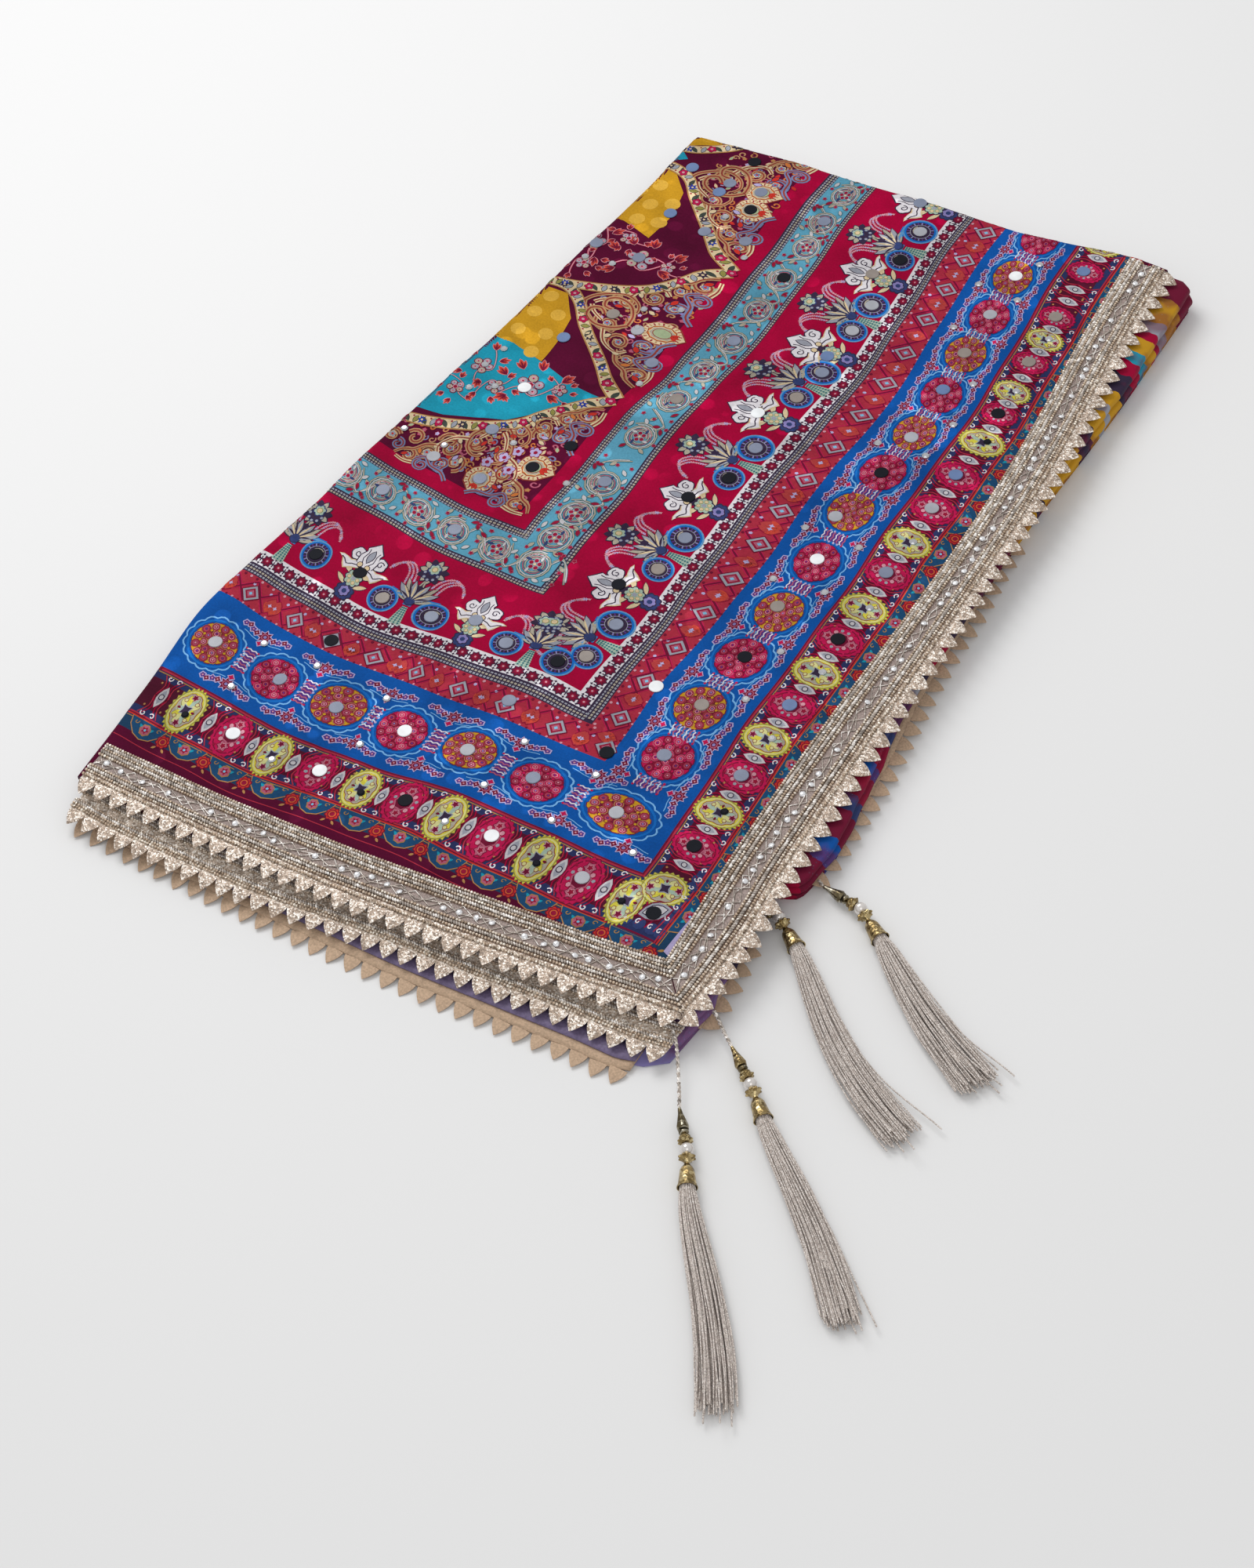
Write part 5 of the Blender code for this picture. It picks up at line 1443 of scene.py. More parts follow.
def placeField():
    for seed, (count, *corners) in enumerate(fieldFillings, 1):
        filling(corners, count, seed)
    for tint, centre, *points in fieldAreas:
        area(points, tint, 0, centre)
    for x, y in fieldDots:
        blob(plain, x, y, 0.082, "brightMustard", 1, points=14)
    for x, y, turn, size in fieldSprays:
        flowerSpray(moved(plain, x, y, turn, size), "deepTeal" if y < 5 else "berry", "blush")
    arabesque(along("long", 5.93, 3.17))
    arabesque(along("long", 7.98, 3.17))
    arabesque(moved(along("long", 3.88, 3.22), 0, 0, size=0.95), (1,))
    arabesque(moved(along("short", -3.95, 3.18), 0, 0, size=0.9), (1, -1))
    goldScroll(plain, cornerScrolls)
    goldScroll(plain, cornerPaleScrolls, "blueGrey")
    for x, y in ((-4.88, 3.4), (-4.44, 3.41), (-4.12, 3.44), (-3.58, 4.12), (-3.46, 4.42)):
        scrollHeart(plain, x, y, 0.04, 0.015)
    # Large scrolls that run together in a heart about a mirror.
    heart = [(0, -0.2), (0.13, -0.13), (0.22, 0), (0.2, 0.14), (0.1, 0.19), (0.02, 0.13), (0.05, 0.05)]
    for x, y in ((-3.8, 5.88), (-3.75, 8.1)):
        for hand in bothHands:
            ribbon(moved(plain, x, y, 1.2, flip=hand), heart, 0.017, "rust", 6, edge="tan", rim=0.017)
    for x, y, turn, tone in ((-3.79, 3.4, 0.0, "grey"), (-3.43, 3.74, 1.57, "dark"),
                             (-3.32, 5.86, 1.57, None),
                             (-3.42, 8.12, 1.57, "grey"), (-3.4, 7.84, 1.57, "dark")):
        paisley(moved(plain, x, y, turn, 0.84), tone)
    for x, y in ((-3.75, 3.72), (-3.62, 3.62), (-3.68, 3.84), (-3.52, 3.9), (-3.86, 3.6)):
        blob(plain, x, y, 0.06, "paleViolet", 4, "berry", 0.008, points=20, lobes=5, depth=0.3)
        blob(plain, x, y, 0.022, "berry", 6, points=6)
    for path in fieldStrips:
        guardStrip(path)
    for tone, spots in fieldMirrors.items():
        for x, y in spots:
            mirrorAt(plain, x, y, tone)
    for x, y in fieldStuds:
        mirrorAt(plain, x, y, "silver", "stud")


def motifFinish():
    look = Finish("printed_motifs")
    tint = look.add("Attribute", attribute_name="tint").outputs["Color"]
    return finishSatin(look, tint, look.printPlace())


def buildMotifs(name, place, finish):
    for rows in motifs.values():
        rows.clear()
    place()
    obj = meshFrom(name, motifs["points"], motifs["faces"], finish)
    mesh = obj.data
    tints = mesh.attributes.new("tint", "FLOAT_COLOR", "POINT")
    tints.data.foreach_set("color", [part for tint in motifs["tints"] for part in tint])
    layer = mesh.uv_layers.new(name="print")
    for corner in mesh.loops:
        layer.data[corner.index].uv = motifs["flat"][corner.vertex_index]
    print(name, sum(len(face) - 2 for face in motifs["faces"]))
    return obj


motifPaint = motifFinish()
prints = [buildMotifs(name, place, motifPaint) for name, place in (
    ("rosette_print", placeRosettes), ("medallion_print", placeMedallions), ("band_print", placeBands),
    ("palmette_print", placePalmettes), ("field_print", placeField))]
print("print laid")

# Mirrors and studs: print place, tone and kind come from the motifs; the tone is a painted reflection, or
# silver metal for studs.
mirror = {"radius": 4.1, "thick": 0.5, "studRadius": 2.3, "studTall": 1.1}


def mirrorFinish(name, tint, rough, metal, gloss=0.3):
    look = Finish(name)
    cloud = look.noise(look.place(), 160.0, 2.0)
    low = tuple(c * 0.86 for c in tint)
    colour = look.ramp(cloud, ((0.35, low), (0.7, tint)))
    return look.set(Base_Color=colour, Roughness=rough, Metallic=metal, Specular_IOR_Level=gloss)


# Mirror tones are painted reflections: the glass mirrors take the colour of what they reflect, from white
# highlights to near black. Silver is the studs' own metal.
mirrorTones = {
    "white": mirrorFinish("mirror_white", (0.86, 0.88, 0.9), 0.35, 0.0),
    "bright": mirrorFinish("mirror_bright", (0.38, 0.39, 0.43), 0.3, 0.0),
    "grey": mirrorFinish("mirror_grey", (0.2, 0.23, 0.32), 0.3, 0.0),
    "blue": mirrorFinish("mirror_blue", (0.13, 0.2, 0.38), 0.3, 0.0),
    "tan": mirrorFinish("mirror_tan", (0.27, 0.23, 0.205), 0.3, 0.0),
    "dark": mirrorFinish("mirror_dark", (0.01, 0.011, 0.016), 0.5, 0.0, 0.05),
    "silver": mirrorFinish("stud_silver", (0.6, 0.61, 0.64), 0.12, 0.7),
}


def buildMirrors():
    points, faces, slots = [], [], []
    tones = list(mirrorTones)
    for px, py, tone, kind in mirrorSpots:
        x, y = toPack(px, py)
        if onCloth(px, py, 0.0) is None or x < panelLeft(y) - 1 or y > panelBack(x) - 1:
            continue
        stud = kind == "stud"
        radius = mirror["studRadius"] if stud else mirror["radius"]
        tall = mirror["studTall"] if stud else mirror["thick"]
        count = 8 if stud else 20
        base = clothHeight(x, y) + 0.3
        slopeX = (clothHeight(x + 3, y) - clothHeight(x - 3, y)) / 6
        slopeY = (clothHeight(x, y + 3) - clothHeight(x, y - 3)) / 6
        profile = ((0.88, 0.0), (1.0, 0.35 * tall), (0.62 if stud else 0.93, tall))
        first = len(points)
        for share, up in profile:
            for k in range(count):
                turn = 2 * math.pi * k / count
                a, b = radius * share * math.cos(turn), radius * share * math.sin(turn)
                points.append((x + a, y + b, base + up + slopeX * a + slopeY * b))
        for level in (0, 1):
            for k in range(count):
                a, b = first + level * count + k, first + level * count + (k + 1) % count
                faces.append((a, b, b + count, a + count))
        faces.append(list(range(first + 2 * count, first + 3 * count)))
        faces.append(list(range(first, first + count))[::-1])
        slots += [tones.index(tone)] * (2 * count + 2)
    obj = meshFrom("sewn_mirrors", points, faces, *mirrorTones.values(), smooth=False)
    obj.data.polygons.foreach_set("material_index", slots)
    return obj


sewnMirrors = buildMirrors()
for piece in (*prints, sewnMirrors):
    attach(piece, "root")
print("mirrors sewn", len(mirrorSpots))

# Hidden plies: rounded fold edges one above another.
plies = {
    "columns": 60,
    "stations": 176,
}


def plyLeft(y):
    return readTable(leftEdge, y) + pack["foldRadius"] + 1.3


def plyRight(y):
    return min(readTable(printedFold, y) - 4.0, readTable(longTips, y) - 12.0)


def plyFront(x):
    return readTable(secondTips, x) + 28.0


def plyBack(x):
    return readTable(backEdge, x) - pack["foldRadius"] - 1.3


def loop(top, bottom, out, depth):
    # Half-round edge of one folded layer, top to bottom.
    turns = [math.pi * k / 6 for k in range(1, 6)]
    middle, half = (top + bottom) / 2, (top - bottom) / 2
    return [(out - depth * (1 - math.sin(t)), middle + 0.92 * half * math.cos(t)) for t in turns]


def sideSection(side, x, y, top):
    sway = 0.7 * math.sin(0.045 * x + 0.031 * y) + 0.4 * math.sin(0.11 * y - 0.07 * x)
    wave = 0.35 * math.sin(0.13 * y + 0.11 * x) + 0.25 * math.sin(0.29 * y - 0.21 * x)
    if side == "front":
        third = readTable(thirdTips, x)
        middle = plyFront(x) - (third + 25.0)
        lowest = plyFront(x) - (third + 13.5)
        section = [(0.0, top)] + loop(top, 9.6, 0.8, 2.0)
        section += [(-1.2, 7.6)] + loop(8.0, 4.8, middle, 1.4)
        section += [(middle - 3.0, 4.6)] + loop(4.4, 1.6, middle, 1.4)
        section += [(middle - 2.0, 1.4), (lowest - 0.4, 1.35), (lowest, 0.7), (lowest - 1.0, 0.0)]
        return section + [(lowest - 1.0, 0.0)] * 2
    if side == "right":
        nose = readTable(printedFold, y) - plyRight(y)
        step = (top - 5.6) / 2
        section = [(0.0, top)] + loop(top, top - step, nose - 1.2 + sway + wave, 2.4)
        section += [(nose - 4.4, top - step)]
        section += loop(top - step, 5.6, nose + wave, 2.4)
        section += [(nose - 9.0, 4.4)] + loop(3.4, 1.5, nose - 2.0, 1.6)
        section += [(nose - 3.2, 1.4), (nose - 2.6, 1.1), (nose - 2.2, 0.7), (nose - 3.2, 0.0)]
        return section + [(nose - 3.2, 0.0)] * 2
    shelf = top + 1.9 - 7.5
    step = shelf / 3
    reach = 4.0 + sway
    section = [(0.0, top), (0.2, top - 1.0), (0.3, top - 3.0), (0.2, shelf + 1.0), (0.0, shelf)]
    section += [(0.4, shelf - 0.1)] + loop(shelf - 0.2, 2 * step, reach + wave, 2.2)
    section += [(reach - 3.2, 2 * step)] + loop(2 * step, step, reach - 0.8 - wave, 2.2)
    section += [(reach - 3.2, step)] + loop(step, 0.3, reach - 0.6 + wave, 2.2)
    return section + [(reach - 2.6, 0.0)]


def buildPlies(finish):
    columns, rows = plies["columns"], plies["stations"]
    points = []
    for j in range(rows + 1):
        for i in range(columns + 1):
            x, y = planPoint(i / columns, j / rows, plyLeft, plyRight, plyFront, plyBack)
            points.append((x, y, stackTop(x, y) - pack["plyGap"]))
    faces = gridFaces(columns, rows)
    wide = columns + 1
    ring = [(i, ("front",)) for i in range(wide)]
    ring[0] = (0, ("left", "front"))
    ring[-1] = (columns, ("front", "right"))
    ring += [(j * wide + columns, ("right",)) for j in range(1, rows)]
    ring += [(rows * wide + columns, ("right", "back"))]
    ring += [(rows * wide + i, ("back",)) for i in range(columns - 1, 0, -1)]
    ring += [(rows * wide, ("back", "left"))]
    ring += [(j * wide, ("left",)) for j in range(rows - 1, 0, -1)]
    outward = {"left": (-1, 0), "right": (1, 0), "front": (0, -1), "back": (0, 1)}
    sections = []
    for index, sides in ring:
        x, y, z = points[index]
        made = [sideSection(side, x, y, z) for side in sides]
        share = 1.0 if len(sides) == 1 else 0.72
        levels = []
        for level in zip(*made):
            px, py, height = x, y, 0.0
            for side, (out, at) in zip(sides, level):
                px += outward[side][0] * out * share
                py += outward[side][1] * out * share
                height += at / len(sides)
            if "front" in sides:
                height = level[sides.index("front")][1]
            levels.append((px, py, height))
        sections.append(levels)
    before = [index for index, _ in ring]
    count = len(ring)
    for level in range(1, len(sections[0])):
        after = []
        for section in sections:
            after.append(len(points))
            points.append(section[level])
        for a in range(count):
            b = (a + 1) % count
            faces.append((before[b], before[a], after[a], after[b]))
        before = after
    obj = meshFrom("folded_plies", points, faces, finish)
    body = bmesh.new()
    body.from_mesh(obj.data)
    bmesh.ops.remove_doubles(body, verts=body.verts, dist=0.000001)
    rim = [e for e in body.edges if e.is_boundary]
    bmesh.ops.holes_fill(body, edges=rim, sides=0)
    body.to_mesh(obj.data)
    body.free()
    obj.data.shade_smooth()
    return obj


def pliesPaint():
    # Print seen on the fold edges: colours change along the right side, dark red on the left.
    look = Finish("printed_fold_edge")
    where = look.place()
    parts = look.add("SeparateXYZ", {0: where})
    ragged = look.step(look.noise(where, 60.0, 3.0), 0.0, 1.0, -0.006, 0.006)
    run = look.step(look.math("ADD", parts.outputs[1], ragged), -0.276, 0.312)
    stops = ((-1.0, "lavender"), (-0.45, "ink"), (0.0, "maroon"), (0.35, "crimson"), (0.62, "wine"),
             (0.95, "royalBlue"), (1.2, "wine"), (1.5, "navy"), (1.7, "berry"), (1.95, "royalBlue"),
             (2.1, "crimson"), (2.35, "navy"), (2.9, "steel"), (3.1, "ink"), (3.4, "crimson"), (3.7, "ink"),
             (4.5, "maroon"), (5.0, "mustard"), (5.4, "ink"), (5.6, "mustard"), (6.3, "ink"),
             (6.55, "mustard"),
             (6.75, "steel"), (6.85, "mustard"), (7.1, "ink"), (7.35, "crimson"), (7.5, "turquoise"),
             (7.68, "mustard"), (7.85, "crimson"), (7.95, "steel"), (8.08, "mustard"), (8.42, "wine"))
    colour = look.ramp(run, [(max(0.0, ((at - 3.6) * 0.06 + 0.276) / 0.588), dye[tint]) for at,
                             tint in stops], True)
    specks = look.ramp(look.cells(where, 420.0), ((0.0, dye["dustyRose"]), (0.22, dye["ink"]),
                                                  (0.3, dye["wine"])))
    busy = look.step(look.noise(where, 45.0, 2.0), 0.45, 0.55)
    colour = look.mix(look.math("MULTIPLY", busy, 0.55), colour, specks)
    left = look.step(parts.outputs[0], -0.1, -0.13)
    colour = look.mix(left, colour, look.ramp(look.noise(where, 80.0), ((0.4, dye["maroon"]),
                                                                        (0.6, dye["wine"]))))
    return look.set(Base_Color=colour, Roughness=0.6, Specular_IOR_Level=0.1)


foldedPlies = buildPlies(pliesPaint())
print("plies folded")


# One small shape repeated along a path, as a Geometry Nodes tree.
def repeatTree():
    tree = bpy.data.node_groups.new("repeat_along_path", "GeometryNodeTree")
    sockets = (("Path", "Geometry"), ("Shape", "Object"), ("Spacing", "Float"), ("Size", "Float"),
               ("Uneven", "Float"), ("Seed", "Int"), ("Finish", "Material"))
    for title, kind in sockets:
        tree.interface.new_socket(name=title, in_out="INPUT", socket_type="NodeSocket" + kind)
    tree.interface.new_socket(name="Made", in_out="OUTPUT", socket_type="NodeSocketGeometry")

    def node(kind, **settings):
        made = tree.nodes.new(kind)
        for key, value in settings.items():
            setattr(made, key, value)
        return made

    start, end = node("NodeGroupInput"), node("NodeGroupOutput")
    even = node("GeometryNodeResampleCurve", mode="LENGTH")
    tangent = node("GeometryNodeInputTangent")
    along = node("FunctionNodeAlignRotationToVector", axis="X")
    upright = node("FunctionNodeAlignRotationToVector", axis="Z", pivot_axis="X")
    upright.inputs["Vector"].default_value = (0.0, 0.0, 1.0)
    less = node("ShaderNodeMath", operation="MULTIPLY")
    less.inputs[1].default_value = -1.0
    sway = node("FunctionNodeRandomValue", data_type="FLOAT_VECTOR")
    swayTurn = node("FunctionNodeEulerToRotation")
    turned = node("FunctionNodeRotateRotation", rotation_space="LOCAL")
    shape = node("GeometryNodeObjectInfo")
    copies = node("GeometryNodeInstanceOnPoints")
    real = node("GeometryNodeRealizeInstances")
    paint = node("GeometryNodeSetMaterial")
    links = (
        (start.outputs["Path"], even.inputs["Curve"]),
        (start.outputs["Spacing"], even.inputs["Length"]),
        (tangent.outputs[0], along.inputs["Vector"]),
        (along.outputs[0], upright.inputs["Rotation"]),
        (start.outputs["Uneven"], less.inputs[0]),
        (less.outputs[0], sway.inputs[0]),
        (start.outputs["Uneven"], sway.inputs[1]),
        (start.outputs["Seed"], sway.inputs["Seed"]),
        (sway.outputs[0], swayTurn.inputs[0]),
        (upright.outputs[0], turned.inputs[0]),
        (swayTurn.outputs[0], turned.inputs[1]),
        (start.outputs["Shape"], shape.inputs["Object"]),
        (even.outputs[0], copies.inputs["Points"]),
        (shape.outputs["Geometry"], copies.inputs["Instance"]),
        (turned.outputs[0], copies.inputs["Rotation"]),
        (start.outputs["Size"], copies.inputs["Scale"]),
        (copies.outputs[0], real.inputs[0]),
        (real.outputs[0], paint.inputs["Geometry"]),
        (start.outputs["Finish"], paint.inputs["Material"]),
        (paint.outputs[0], end.inputs["Made"]),
    )
    for first, second in links:
        tree.links.new(first, second)
    return tree


repeats = repeatTree()


def pathObject(name, routes, radius=0.0):
    curve = bpy.data.curves.new(name, "CURVE")
    curve.dimensions = "3D"
    curve.twist_mode = "Z_UP"
    curve.bevel_depth = radius * mm
    curve.bevel_resolution = 1
    curve.use_fill_caps = radius > 0
    for route in routes:
        spline = curve.splines.new("POLY")
        spline.points.add(len(route) - 1)
        for point, (x, y, z) in zip(spline.points, route):
            point.co = (x * mm, y * mm, z * mm, 1.0)
    obj = bpy.data.objects.new(name, curve)
    scene.collection.objects.link(obj)
    return obj


def repeatAlong(name, routes, shape, spacing, finish, size=1.0, uneven=0.0, seed=0):
    path = pathObject(name, routes)
    made = path.modifiers.new("repeat", "NODES")
    made.node_group = repeats
    values = {"Shape": shape, "Spacing": spacing * mm, "Size": size, "Uneven": uneven, "Seed": seed,
              "Finish": finish}
    for item in repeats.interface.items_tree:
        if item.in_out == "INPUT" and item.name in values:
            made[item.identifier] = values[item.name]
    return bake(path)


def tubes(name, routes, radius, finish):
    obj = pathObject(name, routes, radius)
    obj.data.materials.append(finish)
    return bake(obj)


def joined(name, parts):
    for part in parts[1:]:
        for layer in list(part.data.uv_layers):
            part.data.uv_layers.remove(layer)
    with bpy.context.temp_override(active_object=parts[0], selected_editable_objects=parts):
        bpy.ops.object.join()
    parts[0].name = name
    return parts[0]


def smallBall(name, sizes, segments=6, rings=4):
    body = bmesh.new()
    bmesh.ops.create_uvsphere(body, u_segments=segments, v_segments=rings, radius=0.5 * mm)
    bmesh.ops.scale(body, verts=body.verts, vec=sizes)
    mesh = bpy.data.meshes.new(name)
    body.to_mesh(mesh)
    body.free()
    mesh.shade_smooth()
    obj = bpy.data.objects.new(name, mesh)
    scene.collection.objects.link(obj)
    return obj


giltNet = plainFinish("lace_net", (0.31, 0.24, 0.215), 0.6, 0.0, 1300.0, 0.45, 0.0004)
giltBead = giltFinish("gilt_bead", (0.6, 0.455, 0.33), (1.0, 0.93, 0.82), 0.35, 0.3, 700.0)
giltGround = plainFinish("lace_ground", (0.23, 0.145, 0.105), 0.6, 0.0, 1300.0, 0.4, 0.0003)
# A lighter copy of the lace finish for the second lace: painted light that offsets the shadow cast by the
# top lace's teeth.
giltLowerPaintedLight = giltFinish("gilt_lower", (0.66, 0.53, 0.42), (1.0, 0.94, 0.86), 0.4, 0.2, 1100.0)
giltTooth = giltFinish("gilt_tooth", (0.49, 0.375, 0.29), (0.98, 0.91, 0.83), 0.4, 0.35, 1100.0)
giltThread = giltFinish("silver_thread", (0.56, 0.49, 0.43), (0.96, 0.92, 0.88), 0.35, 0.35, 500.0)
tanReverse = plainFinish("lace_reverse", (0.5, 0.35, 0.235), 0.8, 0.0, 900.0, 0.2, 0.0002)
lilacReverse = plainFinish("cloth_reverse", (0.165, 0.125, 0.23), 0.6, 0.0, 700.0, 0.2, 0.0001)
clearSequin = Finish("clear_sequin").set(Base_Color=(0.82, 0.82, 0.84, 1.0), Roughness=0.08,
                                         Specular_IOR_Level=0.9, Metallic=0.35)

# Lace bands: a net ground, beaded rows, crossed threads with sequins, pointed teeth.
lace = {
    "wall": 0.5,
    "beadSpacing": 1.75,
    "toothSpacing": 11.0,
    "threadRadius": 0.3,
    "threadPitch": 8.5,
}
beadShape = smallBall("bead_shape", (1.75, 1.9, 1.5))
ropeShape = smallBall("rope_shape", (1.5, 2.9, 1.9))
ropeShape.data.transform(Matrix.Rotation(math.radians(38), 4, "Z"))
sequinShape = smallBall("sequin_shape", (4.0, 4.0, 1.4), 6, 4)


class Band:
    # Strip between an inner and an outer line, each a function of the place along it.
    def __init__(self, stations, inner, outer, surface):
        self.stations, self.inner, self.outer, self.surface = stations, inner, outer, surface

    def at(self, station, share, lift=0.0):
        (x0, y0), (x1, y1) = self.inner(station), self.outer(station)
        x, y = x0 + (x1 - x0) * share, y0 + (y1 - y0) * share
        return x, y, self.surface(x, y) + lift

    def line(self, share, lift=0.0):
        return [self.at(station, share, lift) for station in self.stations]


def bandGround(name, band, sections, wall, finishes):
    # sections: share of the width, lift, finish number of the strip after it.
    points = [band.at(s, share, lift) for s in band.stations for share, lift, _ in sections]
    count = len(sections) - 1
    faces = gridFaces(count, len(band.stations) - 1)
    faces = facingUp(points, faces)
    obj = meshFrom(name, points, faces, *finishes)
    for polygon in obj.data.polygons:
        polygon.material_index = sections[polygon.index % count][2]
    thicken(obj, wall)
    return bake(obj)


def toothShape(name, half, depth, droop, crown, wall):
    # One pointed tooth, its root along x, its tip toward +y.
    rows, points, faces = 5, [], []
    for j in range(rows + 1):
        share = j / rows
        width = half * (1 - share ** 1.75) * 0.97 + 0.12
        z = -droop * share ** 1.4
        for i in range(5):
            a = -1 + i / 2
            puff = crown * (1 - a * a) * math.sin(math.pi * (0.25 + 0.7 * share))
            points.append((a * width, depth * share, z + puff))
    faces = gridFaces(4, rows)
    obj = meshFrom(name, points, facingUp(points, faces), smooth=False)
    thicken(obj, wall)
    return bake(obj)


goldTooth = toothShape("gold_tooth_shape", 5.45, 8.7, 1.0, 0.55, 0.5)
droopTooth = toothShape("droop_tooth_shape", 5.45, 8.7, 1.7, 0.55, 0.5)
flatTooth = toothShape("flat_tooth_shape", 4.9, 8.7, 1.2, 0.2, 0.5)

topSections = (
    (0.0, 0.3, 2), (0.03, 0.62, 2), (0.31, 0.62, 2), (0.345, 0.42, 0), (0.46, 0.34, 0), (0.58, 0.42, 0),
    (0.615, 0.62, 2), (0.82, 0.62, 1), (0.86, 0.5, 1), (1.0, 0.55, 1), (1.05, 0.55, 1),
)
beadRows = ((0.03, 1.35), (0.165, 1.35), (0.315, 1.35), (0.64, 1.35), (0.79, 1.3), (0.9, 1.2))
ropeRows = ((0.1, 1.4), (0.24, 1.4), (0.715, 1.5))


def beadedBand(name, band, seed=1, rows=beadRows, ropes=ropeRows, zigzag=True):
    # Without the zigzag (the second lace), every strip takes the lighter copy: painted light against the
    # shadow of the teeth above.
    grounds = (giltNet, giltTooth, giltGround) if zigzag else (giltLowerPaintedLight, giltLowerPaintedLight, giltLowerPaintedLight)
    parts = [bandGround(name, band, topSections, lace["wall"], grounds)]
    routes = [band.line(share, lift) for share, lift in rows]
    spacing = lace["beadSpacing"]
    parts.append(repeatAlong("beads", routes, beadShape, spacing, giltBead, 1.0, 0.25, seed))
    routes = [band.line(share, lift) for share, lift in ropes]
    parts.append(repeatAlong("ropes", routes, ropeShape, 1.5, giltThread, 1.0, 0.15, seed + 1))
    if zigzag:
        draw = random.Random(seed)
        length = abs(band.stations[-1] - band.stations[0])
        count = round(length / lace["threadPitch"])
        start, span = band.stations[0], band.stations[-1] - band.stations[0]
        threads, spots = [], []
        for strand in range(3):
            route = []
            for k in range(count + 1):
                station = start + span * min(1.0, max(0.0, (k + draw.uniform(-0.18, 0.18)) / count))
                side = (k + strand) % 2 if strand < 2 else 0.5 + 0.3 * math.sin(k * 2.1)
                share = 0.36 + 0.23 * side + draw.uniform(-0.02, 0.02)
                route.append(band.at(station, share, 0.8 + 0.12 * strand))
                if strand == 2 and draw.random() < 0.75:
                    spots.append(band.at(station, 0.475 + draw.uniform(-0.05, 0.05), 1.0))
            threads.append(route)
        parts.append(tubes("threads", threads, lace["threadRadius"], giltThread))
        for k, spot in enumerate(spots):
            gem = sequinShape.copy()
            gem.data = sequinShape.data.copy()
            gem.data.materials.append(clearSequin)
            tip = Matrix.Rotation(draw.uniform(-0.3, 0.3), 4, "X")
            tip = tip @ Matrix.Rotation(draw.uniform(-0.3, 0.3), 4, "Y")
            spin = Matrix.Rotation(draw.uniform(0, 1), 4, "Z")
            gem.data.transform(Matrix.Translation(Vector(spot) * mm) @ tip @ spin)
            scene.collection.objects.link(gem)
            parts.append(gem)
    return joined(name, parts)


def toothRow(name, band, share, lift, shape, finish, seed, spacing=None, uneven=0.09):
    # Teeth stand along the band's outer line, their tips to its left.
    route = band.line(share, lift)
    length = sum((Vector(b) - Vector(a)).length for a, b in zip(route, route[1:]))
    pitch = spacing or lace["toothSpacing"]
    count = round(length / pitch)
    pitch = length / count
    step = pitch / 2
    inside, run = [], 0.0
    for a, b in zip(route, route[1:]):
        a, b = Vector(a), Vector(b)
        piece = (b - a).length
        if run + piece > step and run < length - step:
            low = max(0.0, (step - run) / piece)
            high = min(1.0, (length - step - run) / piece)
            if not inside:
                inside.append(tuple(a.lerp(b, low)))
            inside.append(tuple(a.lerp(b, high)))
        run += piece
    return repeatAlong(name, [inside], shape, pitch * 0.99999, finish, 1.0, uneven, seed)


mitreIn, mitreOut = (152.0, -249.0), (176.4, -276.4)


def longInnerLine(y):
    y = max(y, mitreIn[1] + 0.1)
    return readTable(longInner, y), y


def longOuterLine(y):
    low = mitreOut[1] + 0.1
    if y < 60:
        y = low + (y - mitreIn[1]) * (60 - low) / (60 - mitreIn[1])
    return readTable(longTips, y) - pack["toothDepth"], y


def shortInnerLine(x):
    x = min(x, mitreIn[0] - 0.1)
    return x, readTable(shortInner, x)


def shortOuterLine(x):
    if x > 0:
        x = x * (mitreOut[0] - 0.1) / mitreIn[0]
    return x, readTable(shortTips, x) + pack["toothDepth"]


longBand = Band(spread(309.5, -249.0, 150), longInnerLine, longOuterLine, laceTop)
shortBand = Band(spread(152.0, -186.5, 96), shortInnerLine, shortOuterLine, laceTop)
laceLong = beadedBand("long_gilt_lace", longBand, seed=3)
laceShort = beadedBand("short_gilt_lace", shortBand, seed=4)


def toothBand(start, end, count, tips, along, surface, depth):
    def root(station):
        reach = readTable(tips, station)
        if along == "y":
            return reach - depth, station
        return station, reach + depth
    return Band(spread(start, end, count), root, root, surface)


longTeeth = toothBand(309.0, -280.0, 120, longTips, "y", laceTop, 8.7)
shortTeeth = toothBand(174.5, -186.5, 80, shortTips, "x", laceTop, 8.7)
teethLong = toothRow("long_gilt_teeth", longTeeth, 0, 0.8, goldTooth, giltTooth, 5)
teethShort = toothRow("short_gilt_teeth", shortTeeth, 0, 0.8, goldTooth, giltTooth, 6)
print("top lace made")


def tipLine(tips, extra):
    return lambda x: (x, readTable(tips, x) + extra)


def level(height):
    return lambda x, y: height


secondBand = Band(spread(177.0, -184.5, 96), tipLine(secondTips, 25.6), tipLine(secondTips, 9.0),
                  level(7.95))
